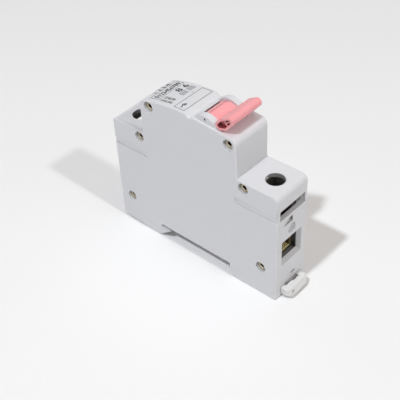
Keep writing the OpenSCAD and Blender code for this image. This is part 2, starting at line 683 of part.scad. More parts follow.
// Contact arm's blade, grown by a clearance where the carrier makes room for it
module moving_arm_body(gap = 0) {
    top = carrier_at.y - 4.2 + gap;
    low = contact_z - 2.6;
    half = arm_t / 2 + gap;
    block([contact_x - half, contact_x + half], [-arm_w / 2 - gap, arm_w / 2 + gap], [low, top]);
}

module moving_contact_arm() color([0.85, 0.5, 0.3]) moving_arm_body();

module moving_contact_tip() color([0.86, 0.86, 0.84])
    spindle([0, contact_z], tip_r, [contact_x - arm_t / 2 - tip_t, contact_x - arm_t / 2]);

// Steel pin of a lever, held by both shells
module lever_axle(p) axle(p, pin_r, [cover_y - pin_deep + seat_gap, back_y + pin_deep - seat_gap]);

module carrier_pin() color([0.75, 0.75, 0.77]) lever_axle(carrier_at);

// Torsion spring round one of the lever pins, against the pin's seat in the back wall
module lever_spring(p, r, wire) translate([p.x, back_y - pin_seat_h - wire - lever_coil_l, p.y])
    rotate([-90, 0, 0]) helix(r, wire, 3.5, lever_coil_l);

// Opens the contacts
module main_spring() color([0.68, 0.68, 0.7]) lever_spring(carrier_at, pin_r + 0.75, main_wire);

// Fixed contact: one bent strip, its face tilted to meet the moving contact at ON, and a horn that
// runs back over the arc chute
module fixed_contact() color([0.85, 0.5, 0.3]) slab([-arm_w / 2 - 0.5, arm_w / 2 + 0.5])
    polygon([[chute_x[0] + 0.4, horn_z], [swung_x(fixed_face, horn_z), horn_z],
             [swung_x(fixed_face, fixed_top), fixed_top], [fixed_back(fixed_top), fixed_top],
             [fixed_back(horn_z + horn_t), horn_z + horn_t], [chute_x[0] + 0.4, horn_z + horn_t]]);

module fixed_contact_tip() color([0.86, 0.86, 0.84]) carrier_swing(carrier_turn)
    spindle([0, contact_z], tip_r, [fixed_face, fixed_face + tip_t]);

// ---- arc chute ----

// One splitter plate with a notch towards the contacts and two tabs on each side
module splitter_plate() {
    half = chute_w / 2;
    mouth = plate_notch_w / 2;
    neck = 0.6;
    neck_l = plate_notch_l - 0.4;
    linear_extrude(plate_t) difference() {
        union() {
            translate([chute_x[0] + 0.4, -half]) square([chute_x[1] - chute_x[0] - 0.4, chute_w]);
            for (x = plate_tab_x)
                translate([x, -half - chute_wall_t]) square([plate_tab_l, chute_w + 2 * chute_wall_t]);
        }
        polygon([[chute_x[1] + cut, -mouth], [chute_x[1] - 1, -mouth], [chute_x[1] - neck_l, -neck],
                 [chute_x[1] - plate_notch_l, 0], [chute_x[1] - neck_l, neck], [chute_x[1] - 1, mouth],
                 [chute_x[1] + cut, mouth]]);
    }
}

module arc_plates() color([0.66, 0.67, 0.68])
    for (i = [0:plate_count - 1]) translate([0, 0, first_plate + i * plate_pitch]) splitter_plate();

// Fibre walls that hold the plates by their tabs
module arc_side_walls() color([0.82, 0.75, 0.62]) {
    play = 0.05;
    inner = chute_w / 2 + play;
    for (s = [-1, 1]) difference() {
        block(chute_x, s > 0 ? [inner, inner + chute_wall_t] : [-inner - chute_wall_t, -inner],
              [chute_floor + seat_gap, chute_top + 0.4]);
        for (i = [0:plate_count - 1], x = plate_tab_x)
            block([x - play, x + plate_tab_l + play], [-chute_w, chute_w],
                  [first_plate + i * plate_pitch - play, first_plate + i * plate_pitch + plate_t + play]);
    }
}

// Runner that leads the arc from the moving contact under the splitter plates
module arc_runner() color([0.83, 0.49, 0.3]) slab([-3, 3]) {
    low = chute_floor + seat_gap;
    polygon([[chute_x[0] + 0.5, low], [chute_x[1] + 3.6, low], [contact_x + 1.4, contact_z - 5.4],
             [contact_x + 1.4, contact_z - 4.2], [chute_x[1] + 3.1, low + 0.9], [chute_x[0] + 0.5, low + 0.9]]);
}

// ---- trip coil ----

module coil_bobbin() color([0.2, 0.2, 0.21]) difference() {
    union() {
        spindle([0, coil_z], bobbin_r, bobbin_x);
        spindle([0, coil_z], bobbin_flange_r, [bobbin_x[0], bobbin_x[0] + bobbin_flange_t]);
        spindle([0, coil_z], bobbin_flange_r, [bobbin_x[1] - bobbin_flange_t, bobbin_x[1]]);
    }
    spindle([0, coil_z], bobbin_bore_r, [bobbin_x[0] - cut, bobbin_x[1] + cut]);
}

// Winding with both leads: down past the bobbin, then out to the line strap and the fixed contact
module coil_winding() color([0.8, 0.42, 0.24]) {
    span = lead_x[1] - lead_x[0];
    translate([lead_x[0], 0, coil_z]) rotate([0, 90, 0])
        helix(coil_r, coil_wire_r, coil_turns, span, steps = 16, sides = 8);
    for (s = [0, 1]) {
        out = s == 0 ? [line_inside + 1.1, lead_x[0] + coil_wire_r]
            : [lead_x[1] - coil_wire_r, fixed_back(lead_z - coil_wire_r)];
        translate([lead_x[s], 0, lead_z]) cylinder(r = coil_wire_r - 0.08, h = coil_z - coil_r - lead_z);
        spindle([0, lead_z], coil_wire_r, out);
    }
}

module fixed_core() color([0.6, 0.6, 0.62]) difference() {
    spindle([0, coil_z], plunger_r, [core_x, yoke_x[1]]);
    spindle([0, coil_z], plunger_pin_r + seat_gap, [core_x - cut, yoke_x[1] + cut]);
}

module plunger() color([0.62, 0.62, 0.64]) {
    spindle([0, coil_z], plunger_r, plunger_x);
    spindle([0, coil_z], plunger_pin_r, [plunger_x[1] - cut, plunger_pin_end]);
}

module plunger_spring() color([0.72, 0.72, 0.74])
    translate([plunger_x[1] + 0.35, 0, coil_z]) rotate([0, 90, 0])
        helix(1.5, 0.25, 4, core_x - plunger_x[1] - 0.7);

// Steel frame round the coil, open at the bottom
module magnet_yoke() color([0.7, 0.71, 0.72]) difference() {
    block(yoke_x, [-yoke_w / 2, yoke_w / 2], [yoke_low, yoke_top]);
    block([yoke_x[0] + yoke_t, yoke_x[1] - yoke_t], [-yoke_w, yoke_w], [yoke_low - cut, yoke_top - yoke_t]);
    spindle([0, coil_z], bobbin_bore_r, [yoke_x[0] - cut, yoke_x[1] + cut]);
}

// ---- thermal release ----

module bimetal_strip() color([0.74, 0.7, 0.6]) {
    block([bimetal_x, bimetal_x + bimetal_t], [-bimetal_w / 2, bimetal_w / 2],
          [strap_floor, strap_floor + bimetal_l]);
    block([bimetal_x - 0.1, bimetal_x + 2.4], [-bimetal_w / 2, bimetal_w / 2],
          [strap_floor, strap_floor + bimetal_t]);
}

module calibration_screw() color([0.75, 0.72, 0.55]) difference() {
    union() {
        spindle([0, calibration_z], 1, [bimetal_x + bimetal_t + seat_gap, strap_x + tongue_t]);
        spindle([0, calibration_z], 1.8, [strap_x + tongue_t, strap_x + tongue_t + 0.9]);
    }
    block([strap_x + tongue_t + 0.45, strap_x + tongue_t + 2], [-2, 2],
          [calibration_z - 0.25, calibration_z + 0.25]);
}

module trip_lever() color([0.9, 0.88, 0.8]) difference() {
    union() {
        axle(trip_at, trip_hub_r, [-trip_half, trip_half]);
        slab([-1.6, 1.6]) capsule(trip_at, 1.8, [bimetal_x - 1.4, strap_floor + bimetal_l - 1.6], 1);
        slab([-1.2, 1.2]) capsule(trip_at, 1.8, carrier_at + [6, 5.2], 0.9);
    }
    axle(trip_at, pin_r + running, [-trip_half - cut, trip_half + cut]);
}

module trip_pin() color([0.75, 0.75, 0.77]) lever_axle(trip_at);

module trip_spring() color([0.68, 0.68, 0.7]) lever_spring(trip_at, pin_r + 0.7, trip_wire);

// Flexible braid from the contact arm to the bimetal
module contact_braid() color([0.8, 0.45, 0.28]) {
    start = [contact_x + arm_t / 2 + running, carrier_at.y - braid_drop];
    finish = [bimetal_x, strap_floor + bimetal_l - braid_below];
    sag = 4;
    steps = 18;
    // level for one step at each end, so that both ends meet their faces squarely
    cable([for (i = [0:steps]) let (t = max(0, min(1, (i - 1) / (steps - 2))), ease = t * t * (3 - 2 * t))
        [start.x + (finish.x - start.x) * i / steps,
         start.y + (finish.y - start.y) * ease - sag * pow(sin(180 * t), 2)]], 0.9);
}

// ---- terminals ----

// Line strap: tongue in the cage, then up to the coil's lead
module line_tongue() color([0.86, 0.52, 0.32]) {
    y = [-tongue_w / 2, tongue_w / 2];
    block([line_x - cage_l / 2 - 0.6, line_inside + 1.1], y, [tongue_z, tongue_top]);
    block([line_inside + 0.1, line_inside + 1.1], [-2.5, 2.5], [tongue_z, lead_z + 2]);
}

// Load strap: tongue in the cage, down beside the partition and out to the bimetal's foot
module load_tongue() color([0.86, 0.52, 0.32]) difference() {
    y = [-tongue_w / 2, tongue_w / 2];
    union() {
        block([strap_x, load_x + cage_l / 2 + 0.6], y, [tongue_z, tongue_top]);
        block([strap_x, strap_x + tongue_t], [-3, 3], [strap_floor - tongue_t, tongue_top]);
        block([bimetal_x - 0.8, strap_x + tongue_t], [-3, 3], [strap_floor - tongue_t, strap_floor]);
    }
    spindle([0, calibration_z], 1, [strap_x - cut, strap_x + tongue_t + cut]);
}

// Clamp cage bent from sheet, open along the wire, with the screw's hole in its thick limb
module clamp_cage(x) difference() {
    translate([x - cage_l / 2, 0, 0]) rotate([90, 0, 90]) linear_extrude(cage_l) {
        translate([-cage_w / 2, cage_z + cage_bend]) square([cage_w, cage_h - 2 * cage_bend]);
        translate([-cage_w / 2 + cage_bend, cage_z]) square([cage_w - 2 * cage_bend, cage_h]);
        for (y = [-1, 1], z = [cage_z + cage_bend, cage_z + cage_h - cage_bend])
            translate([y * (cage_w / 2 - cage_bend), z]) circle(cage_bend);
    }
    block([x - cage_l, x + cage_l], [-cage_w / 2 + cage_t, cage_w / 2 - cage_t], [cage_floor, cage_lid]);
    translate([x, 0, cage_lid - cut]) cylinder(r = screw_r + running, h = cage_top_t + 2 * cut);
}

// Terminal screw with a combination head, its tip on the tongue
module clamp_screw(x) translate([x, 0, 0]) difference() {
    union() {
        translate([0, 0, tongue_top + seat_gap]) cylinder(r = screw_r, h = head_z - tongue_top - seat_gap);
        translate([0, 0, head_z]) cylinder(r = screw_head_r, h = screw_head_h);
    }
    for (a = [0, 90]) rotate([0, 0, a]) block([-screw_head_r - cut, screw_head_r + cut], [-0.55, 0.55],
        [head_z + screw_head_h - (a == 0 ? 1.3 : 1), head_z + screw_head_h + cut]);
}

module line_cage() color([0.82, 0.72, 0.42]) clamp_cage(line_x);
module load_cage() color([0.82, 0.72, 0.42]) clamp_cage(load_x);
module line_screw() color([0.8, 0.74, 0.5]) clamp_screw(line_x);
module load_screw() color([0.8, 0.74, 0.5]) clamp_screw(load_x);

// ---- rail clip ----

module din_clip() color([0.93, 0.94, 0.94]) difference() {
    edge_x = clip_x[1] - clip_edge_r;
    corner_x = clip_x[1] - clip_corner_r;
    loop_y = [clip_mid_y - loop_w / 2, clip_mid_y + loop_w / 2];
    intersection() {
        // side view: bevelled jaw at the rail, leaning outer face with a rounded lower edge
        slab(clip_y) {
            polygon([[clip_x[0], clip_top], [clip_x[0], clip_top - 0.6], [clip_x[0] + 2.6, clip_low],
                     [edge_x, clip_low], [clip_x[1], clip_low + clip_edge_r],
                     [clip_x[1] - clip_slope, clip_top]]);
            translate([edge_x, clip_low + clip_edge_r]) circle(clip_edge_r);
        }
        // plan: rounded corners at the tail
        translate([0, 0, clip_low - cut]) linear_extrude(clip_t + 2 * cut) {
            translate([0, clip_y[0]]) square([corner_x, clip_w]);
            translate([0, clip_y[0] + clip_corner_r]) square([clip_x[1] + cut, clip_w - 2 * clip_corner_r]);
            for (y = [clip_y[0] + clip_corner_r, clip_y[1] - clip_corner_r])
                translate([corner_x, y]) circle(clip_corner_r);
        }
    }
    block(clip_window, [clip_mid_y - window_w / 2, clip_mid_y + window_w / 2],
          [clip_low - cut, clip_top + cut]);
    // loop for the screwdriver that pulls the clip
    block([loop_x[0], loop_x[1] - loop_step], loop_y, [clip_low - cut, clip_top + cut]);
    block(loop_x, [clip_mid_y, loop_y[1]], [clip_low - cut, clip_top + cut]);
    // small recess in the tail's outer face
    block([clip_x[1] - 1.3, clip_x[1] + cut], [clip_y[0] + 1.9, clip_y[0] + 3.3],
          [clip_low + 1, clip_low + 2]);
}

module din_clip_spring() color([0.72, 0.72, 0.74])
    translate([clip_window[0] + 0.4, clip_mid_y, (clip_top + clip_low) / 2]) rotate([0, 90, 0])
        helix(1.1, 0.28, 6, stop_x[0] - clip_window[0] - 0.8, steps = 16);

base_shell();
cover_shell();
rivets();
toggle();
toggle_spring();
link_wire();
contact_carrier();
moving_contact_arm();
moving_contact_tip();
carrier_pin();
main_spring();
fixed_contact();
fixed_contact_tip();
arc_plates();
arc_side_walls();
arc_runner();
coil_bobbin();
coil_winding();
fixed_core();
plunger();
plunger_spring();
magnet_yoke();
bimetal_strip();
calibration_screw();
trip_lever();
trip_pin();
trip_spring();
contact_braid();
line_tongue();
line_cage();
line_screw();
load_tongue();
load_cage();
load_screw();
din_clip();
din_clip_spring();
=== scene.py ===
"""Looks of a single-pole circuit breaker for a 35 mm rail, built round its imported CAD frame.
The object stands on its feet. +X is the load end with the rail clip, -Y the near side of the photograph."""

import json
import math

import bmesh
import bpy
from mathutils import Matrix, Quaternion, Vector
from mathutils.bvhtree import BVHTree


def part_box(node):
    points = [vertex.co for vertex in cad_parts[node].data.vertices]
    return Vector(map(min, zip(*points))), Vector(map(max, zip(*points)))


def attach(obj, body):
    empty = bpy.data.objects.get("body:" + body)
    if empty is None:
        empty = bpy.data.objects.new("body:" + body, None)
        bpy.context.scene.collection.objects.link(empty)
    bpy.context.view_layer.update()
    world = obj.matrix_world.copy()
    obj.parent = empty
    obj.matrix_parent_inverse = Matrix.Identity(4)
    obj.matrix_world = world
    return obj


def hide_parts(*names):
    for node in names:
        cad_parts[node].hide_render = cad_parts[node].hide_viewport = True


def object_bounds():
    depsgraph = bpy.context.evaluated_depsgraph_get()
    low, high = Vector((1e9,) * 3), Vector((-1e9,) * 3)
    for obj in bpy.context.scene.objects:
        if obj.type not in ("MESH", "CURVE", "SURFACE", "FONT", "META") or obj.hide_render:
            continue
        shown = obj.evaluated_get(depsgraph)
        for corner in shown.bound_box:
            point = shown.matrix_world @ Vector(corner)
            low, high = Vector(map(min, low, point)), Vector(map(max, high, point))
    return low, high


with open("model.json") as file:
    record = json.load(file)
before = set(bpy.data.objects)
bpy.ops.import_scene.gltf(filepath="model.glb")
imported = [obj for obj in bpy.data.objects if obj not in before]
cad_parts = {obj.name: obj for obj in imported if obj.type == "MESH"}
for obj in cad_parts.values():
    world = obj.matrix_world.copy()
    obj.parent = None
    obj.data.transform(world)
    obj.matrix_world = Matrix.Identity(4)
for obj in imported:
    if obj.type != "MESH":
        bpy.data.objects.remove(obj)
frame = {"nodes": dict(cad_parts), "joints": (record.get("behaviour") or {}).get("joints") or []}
cad_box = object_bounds()
MM = 0.001


# ---------------------------------------------------------------- camera
# The photograph was taken from over the near side and a little round to the load end.
# Image points are x, y in the 400 x 400 photograph, and the camera's values were settled by them.

PHOTO_W, PHOTO_H = 400, 400
POINTS = {
    "left_edge": (112.0, 120.0),
    "right_edge": (308.7, 175.0),
    "top_edge": (172.0, 78.6),
    "bottom_edge": (275.4, 301.3),
    "cheek_hole": (204.2, 119.5),
    "load_screw_hole": (275.2, 179.0),
    "nose_rivet_line": (147.5, 107.0),
    "nose_rivet_load": (227.0, 145.0),
    "shoulder_rivet_line": (139.5, 137.0),
    "shoulder_rivet_load": (243.0, 189.0),
    "foot_rivet_line": (133.0, 195.0),
    "foot_rivet_load": (261.0, 268.0),
    "frame_line_near": (173.4, 106.6),
    "frame_load_near": (183.9, 111.0),
    "frame_load_far": (212.9, 91.5),
    "frame_line_far": (202.4, 87.4),
    "clamp_teeth": (284.8, 247.5),
}

AIM = Vector((-4.027, 0.0, 14.414)) * MM
CAMERA_DISTANCE = 328.9 * MM
CAMERA_AZIMUTH = math.radians(43.158)       # from straight in front of the near side, towards the load end
CAMERA_ELEVATION = math.radians(40.417)
CAMERA_ROLL = math.radians(-3.161)
CAMERA_LENS = 76.089
SENSOR = 36.0

camera_data = bpy.data.cameras.new("photo_camera")
camera_data.sensor_fit = "AUTO"
camera_data.sensor_width = SENSOR
camera_data.lens = CAMERA_LENS
camera_data.clip_start = 0.01
camera_data.clip_end = 20
camera = bpy.data.objects.new("photo_camera", camera_data)
bpy.context.scene.collection.objects.link(camera)
backwards = Vector((
    math.sin(CAMERA_AZIMUTH) * math.cos(CAMERA_ELEVATION),
    -math.cos(CAMERA_AZIMUTH) * math.cos(CAMERA_ELEVATION),
    math.sin(CAMERA_ELEVATION),
))
camera.rotation_mode = "QUATERNION"
camera.rotation_quaternion = backwards.to_track_quat("Z", "Y") @ Quaternion((0, 0, 1), CAMERA_ROLL)
camera.location = AIM + backwards * CAMERA_DISTANCE
bpy.context.scene.camera = camera
bpy.context.view_layer.update()


def ray_through(point):
    """Direction from the camera through an image point."""
    long_side = max(PHOTO_W, PHOTO_H)
    x = point[0] - PHOTO_W / 2 + camera_data.shift_x * long_side
    y = PHOTO_H / 2 - point[1] + camera_data.shift_y * long_side
    in_camera = Vector((x, y, -long_side * camera_data.lens / camera_data.sensor_width))
    return (camera.matrix_world.to_3x3() @ in_camera).normalized()


def place_seen_at(point, surface):
    """Where the ray through an image point meets a surface, or the surface's nearest place to the ray."""
    eye = camera.matrix_world.translation
    way = ray_through(point)
    hit = surface.ray_cast(eye, way)[0]
    if hit is not None:
        return hit
    along = CAMERA_DISTANCE
    for _ in range(20):
        hit = surface.find_nearest(eye + way * along)[0]
        along = (hit - eye).dot(way)
    return hit


def image_of(place):
    """Image point at which a place shows."""
    local = camera.matrix_world.inverted() @ place
    long_side = max(PHOTO_W, PHOTO_H)
    scale = long_side * camera_data.lens / camera_data.sensor_width / -local.z
    x = local.x * scale + PHOTO_W / 2 - camera_data.shift_x * long_side
    y = PHOTO_H / 2 - local.y * scale + camera_data.shift_y * long_side
    return x, y


# ---------------------------------------------------------------- table and light
# A plain white table top under two ceiling lamps, one in front and one past the load end, and the
# room's soft light from above. Each lamp throws one of the two pale shadows.

FLOOR_SIZE = 6.0
FLOOR_WHITE = (0.93, 0.925, 0.925)
FLOOR_FADE = (0.3, 0.9)                      # distance over which the table turns to plain white in view
FAR_WHITE = (0.93, 0.93, 0.93)
ROOM_WARM = (1.0, 0.955, 0.925)
ROOM_STRENGTH = 0.185
FRONT_LAMP = {"way": (0.0, -0.485, 0.85), "distance": 1.35, "size": 0.07, "watts": 8.9,
              "colour": (0.91, 0.955, 1.0)}
LOAD_LAMP = {"way": (0.69, -0.02, 0.70), "distance": 1.50, "size": 0.09, "watts": 6.2,
             "colour": (1.0, 0.99, 0.97)}
CEILING = {"way": (0.0, 0.1, 1.0), "distance": 1.30, "size": 1.20, "watts": 3.8,
           "colour": (1.0, 0.96, 0.93)}

scene = bpy.context.scene
scene.view_settings.view_transform = "Standard"


def add_lamp(name, lamp):
    """An area lamp that looks at the object from the given side."""
    data = bpy.data.lights.new(name, "AREA")
    data.shape = "DISK"
    data.size = lamp["size"]
    data.energy = lamp["watts"]
    data.color = lamp["colour"]
    light = bpy.data.objects.new(name, data)
    scene.collection.objects.link(light)
    way = Vector(lamp["way"]).normalized()
    light.location = AIM + way * lamp["distance"]
    light.rotation_mode = "QUATERNION"
    light.rotation_quaternion = way.to_track_quat("Z", "Y")
    light.visible_camera = False


add_lamp("front_lamp", FRONT_LAMP)
add_lamp("load_lamp", LOAD_LAMP)
add_lamp("ceiling_light", CEILING)

room = bpy.data.worlds.new("room")
room.use_nodes = True
scene.world = room
room_nodes = room.node_tree.nodes
room_links = room.node_tree.links
room_glow = room_nodes["Background"]
room_glow.inputs["Color"].default_value = (*ROOM_WARM, 1)
room_glow.inputs["Strength"].default_value = ROOM_STRENGTH
white_view = room_nodes.new("ShaderNodeBackground")
white_view.inputs["Color"].default_value = (*FAR_WHITE, 1)
white_view.inputs["Strength"].default_value = 1
ray_kind = room_nodes.new("ShaderNodeLightPath")
camera_or_gloss = room_nodes.new("ShaderNodeMath")
camera_or_gloss.operation = "MAXIMUM"
any_view = room_nodes.new("ShaderNodeMath")
any_view.operation = "MAXIMUM"
choose = room_nodes.new("ShaderNodeMixShader")
room_links.new(ray_kind.outputs["Is Camera Ray"], camera_or_gloss.inputs[0])
room_links.new(ray_kind.outputs["Is Glossy Ray"], camera_or_gloss.inputs[1])
room_links.new(camera_or_gloss.outputs[0], any_view.inputs[0])
room_links.new(ray_kind.outputs["Is Transmission Ray"], any_view.inputs[1])
room_links.new(any_view.outputs[0], choose.inputs[0])
room_links.new(room_glow.outputs[0], choose.inputs[1])
room_links.new(white_view.outputs[0], choose.inputs[2])
room_links.new(choose.outputs[0], room_nodes["World Output"].inputs["Surface"])

table_mesh = bpy.data.meshes.new("table_top")
table_form = bmesh.new()
bmesh.ops.create_grid(table_form, x_segments=1, y_segments=1, size=FLOOR_SIZE / 2,
                      matrix=Matrix.Translation((0, 0, cad_box[0].z)))
table_form.to_mesh(table_mesh)
table_form.free()
table_top = bpy.data.objects.new("table_top", table_mesh)
scene.collection.objects.link(table_top)

table_white = bpy.data.materials.new("table_white")
table_white.use_nodes = True
table_nodes = table_white.node_tree.nodes
table_shader = table_nodes["Principled BSDF"]
table_shader.inputs["Roughness"].default_value = 0.9
table_shader.inputs["Specular IOR Level"].default_value = 0.2
table_shader.inputs["Base Color"].default_value = (*FLOOR_WHITE, 1)
table_links = table_white.node_tree.links
table_place = table_nodes.new("ShaderNodeTexCoord")
from_object = table_nodes.new("ShaderNodeVectorMath")
from_object.operation = "LENGTH"
far_off = table_nodes.new("ShaderNodeMapRange")
far_off.interpolation_type = "SMOOTHSTEP"
far_off.inputs["From Min"].default_value = FLOOR_FADE[0]
far_off.inputs["From Max"].default_value = FLOOR_FADE[1]
table_ray = table_nodes.new("ShaderNodeLightPath")
far_in_view = table_nodes.new("ShaderNodeMath")
far_in_view.operation = "MULTIPLY"
far_white = table_nodes.new("ShaderNodeEmission")
far_white.inputs["Color"].default_value = (*FAR_WHITE, 1)
far_white.inputs["Strength"].default_value = 1
near_or_far = table_nodes.new("ShaderNodeMixShader")
table_links.new(table_place.outputs["Object"], from_object.inputs[0])
table_links.new(from_object.outputs["Value"], far_off.inputs["Value"])
table_links.new(far_off.outputs["Result"], far_in_view.inputs[0])
table_links.new(table_ray.outputs["Is Camera Ray"], far_in_view.inputs[1])
table_links.new(far_in_view.outputs[0], near_or_far.inputs[0])
table_links.new(table_shader.outputs[0], near_or_far.inputs[1])
table_links.new(far_white.outputs[0], near_or_far.inputs[2])
table_links.new(near_or_far.outputs[0], table_nodes["Material Output"].inputs["Surface"])
table_mesh.materials.append(table_white)


# ---------------------------------------------------------------- housing
# Base shell and cover shell: two mouldings of light grey plastic, riveted together. Their outer
# edges are softly rounded, and the mould's spark-eroded skin makes them slightly matt.

HOUSING_GREY = (0.70, 0.70, 0.72)
# painted shade: darker grey for the faces deep in the terminal chambers, screw bores and marks
PAINTED_SHADE_GREY = (0.24, 0.23, 0.23)
GROOVE_Z = (32.1 * MM, 34.5 * MM)           # of the shallow groove along both ends' side faces
END_WALL = 1.7 * MM
SHOULDER_Z = 43.2 * MM
FOOT_Z = 6.0 * MM
BAY_X = (-23.2 * MM, 22.0 * MM)
CHAMBER_HALF_W = 7.9 * MM
LIT_SIDE = Vector((-0.73, -0.68))            # side of the load bore that the lamp past the load end reaches
LIT_SPREAD = 0.62
LIT_Z = GROOVE_Z[1] + 3 * MM
MARK_DEPTH = (0.25 * MM, 1.7 * MM)           # of the ends of the wedge mark and the slit, which get painted shade
MARK_WEDGE_Z = (28.0 * MM, 30.7 * MM)
MARK_WEDGE_END = 0.4 * MM
MARK_SLIT_Y = (0.1 * MM, 3.0 * MM)
MARK_SLIT_Z = (1.5 * MM, 2.3 * MM)
SIDE_EDGE_R = 0.3 * MM
OPENING_EDGE_R = 0.10 * MM
RIVET_REACH = 2.4 * MM
WELD = 0.001 * MM
TOUCH = 0.01 * MM
FLAT = math.radians(1)
SHARP = math.radians(28)


def moulded_plastic(name, colour, roughness, cloud_depth=0.02, grain=0.00001, sheen_through=0.0):
    """Opaque thermoplastic: faint clouds in its colour, uneven gloss and a fine spark-eroded skin."""
    material = bpy.data.materials.new(name)
    material.use_nodes = True
    nodes = material.node_tree.nodes
    links = material.node_tree.links
    shader = nodes["Principled BSDF"]
    shader.inputs["IOR"].default_value = 1.5
    if sheen_through:
        shader.inputs["Subsurface Weight"].default_value = sheen_through
        shader.inputs["Subsurface Radius"].default_value = (1.0, 0.5, 0.45)
        shader.inputs["Subsurface Scale"].default_value = 0.0012
    place = nodes.new("ShaderNodeTexCoord")

    clouds = nodes.new("ShaderNodeTexNoise")
    clouds.inputs["Scale"].default_value = 110
    clouds.inputs["Detail"].default_value = 5
    clouds.inputs["Roughness"].default_value = 0.6
    tint = nodes.new("ShaderNodeMix")
    tint.data_type = "RGBA"
    dark = [c * (1 - cloud_depth) for c in colour]
    light = [min(1, c * (1 + cloud_depth)) for c in colour]
    tint.inputs["A"].default_value = (*dark, 1)
    tint.inputs["B"].default_value = (*light, 1)
    links.new(place.outputs["Object"], clouds.inputs["Vector"])
    links.new(clouds.outputs["Fac"], tint.inputs["Factor"])
    links.new(tint.outputs["Result"], shader.inputs["Base Color"])

    gloss = nodes.new("ShaderNodeMapRange")
    gloss.inputs["To Min"].default_value = roughness - 0.05
    gloss.inputs["To Max"].default_value = roughness + 0.05
    links.new(clouds.outputs["Fac"], gloss.inputs["Value"])
    links.new(gloss.outputs["Result"], shader.inputs["Roughness"])

    skin = nodes.new("ShaderNodeTexNoise")
    skin.inputs["Scale"].default_value = 9000
    skin.inputs["Detail"].default_value = 3
    bump = nodes.new("ShaderNodeBump")
    bump.inputs["Strength"].default_value = 0.5
    bump.inputs["Distance"].default_value = grain
    links.new(place.outputs["Object"], skin.inputs["Vector"])
    links.new(skin.outputs["Fac"], bump.inputs["Height"])
    links.new(bump.outputs["Normal"], shader.inputs["Normal"])
    return material


def crisp_shading(piece):
    """Flat faces stay flat, and the narrow roundings between them turn the light."""
    piece.data.shade_smooth()
    piece.data.set_sharp_from_angle(angle=math.radians(42))
    weighted = piece.modifiers.new("flat_faces_stay_flat", "WEIGHTED_NORMAL")
    weighted.keep_sharp = True


def merged_copy(node):
    """A CAD node's triangles as one joined bmesh with whole flat faces."""
    form = bmesh.new()
    form.from_mesh(frame["nodes"][node].data)
    bmesh.ops.remove_doubles(form, verts=form.verts, dist=WELD)
    bmesh.ops.dissolve_limit(form, angle_limit=FLAT, verts=form.verts, edges=form.edges)
    return form


def round_edges(form, radius, wanted, segments=2):
    """Rounds the convex sharp edges that the test wants."""
    edges = [e for e in form.edges
             if e.is_manifold and e.is_convex and e.calc_face_angle() > SHARP and wanted(e)]
    bmesh.ops.bevel(form, geom=edges, offset=radius, offset_type="OFFSET", segments=segments,
                    profile=0.5, affect="EDGES", clamp_overlap=False, loop_slide=False, material=-1)


def longer_than(limit):
    """Test for edges over a length, so that the shortest ones stay as they are."""
    return lambda edge: edge.calc_length() > limit


def finished_piece(form, name, material, body, stands_for=()):
    """Turns a bmesh into a piece that rides on a body, with the given material, and hides the CAD nodes it
    stands for.
    """
    bmesh.ops.recalc_face_normals(form, faces=form.faces)
    mesh = bpy.data.meshes.new(name)
    form.to_mesh(mesh)
    form.free()
    mesh.materials.append(material)
    piece = bpy.data.objects.new(name, mesh)
    scene.collection.objects.link(piece)
    crisp_shading(piece)
    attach(piece, body)
    if stands_for:
        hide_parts(*stands_for)
    return piece


def second_finish(piece, material, wanted):
    """Gives a second material to the faces that the test wants."""
    piece.data.materials.append(material)
    for face in piece.data.polygons:
        face.material_index = int(wanted(face))


def solid_centres(form):
    """Middle of each separate solid of a bmesh, by its box, in the order of its points."""
    centres = []
    seen = set()
    for start in form.verts:
        if start in seen:
            continue
        seen.add(start)
        shell = [start]
        for vert in shell:
            for edge in vert.link_edges:
                other = edge.other_vert(vert)
                if other not in seen:
                    seen.add(other)
                    shell.append(other)
        centres.append(Vector([(min(v.co[i] for v in shell) + max(v.co[i] for v in shell)) / 2
                               for i in range(3)]))
    return centres


rivet_form = merged_copy("rivets")
rivet_places = [(centre.x, centre.z) for centre in solid_centres(rivet_form)]
rivet_form.free()


def near_rivet(edge):
    """True for an edge of a rivet's counterbore."""
    middle = (edge.verts[0].co + edge.verts[1].co) / 2
    return any(math.hypot(middle.x - x, middle.z - z) < RIVET_REACH for x, z in rivet_places)


def in_side_face(edge, side_y):
    """True for an edge that lies in the side face at side_y."""
    return all(abs(v.co.y - side_y) < TOUCH for v in edge.verts)


def runs_across(edge):
    """True for an edge that runs straight from side to side."""
    a, b = (v.co for v in edge.verts)
    return math.hypot(a.x - b.x, a.z - b.z) < TOUCH


def at_groove(edge):
    """True for an edge of the shallow groove along the side faces."""
    return all(GROOVE_Z[0] - TOUCH < v.co.z < GROOVE_Z[1] + TOUCH for v in edge.verts)


def outline_corners(form, side_y):
    """Corners of the side face's outline, where an edge across the housing starts."""
    corners = set()
    for edge in form.edges:
        if not edge.is_manifold or not edge.is_convex or edge.calc_face_angle() < SHARP or near_rivet(edge):
            continue
        if runs_across(edge) and any(abs(v.co.y - side_y) < TOUCH for v in edge.verts):
            corners.add((round(edge.verts[0].co.x / TOUCH), round(edge.verts[0].co.z / TOUCH)))
    return corners


def refill_flat(form, side_y):
    """Fills the side face anew inside its outline and round its counterbores."""
    flat = [f for f in form.faces if all(abs(v.co.y - side_y) < TOUCH for v in f.verts)]
    in_flat = set(flat)
    rim = [e for e in form.edges if sum(f in in_flat for f in e.link_faces) == 1]
    bmesh.ops.delete(form, geom=flat, context="FACES_ONLY")
    loose = [e for e in form.edges if e.is_wire]
    bmesh.ops.delete(form, geom=loose, context="EDGES")
    bmesh.ops.triangle_fill(form, edges=rim, use_beauty=True, normal=(0, math.copysign(1, side_y), 0))


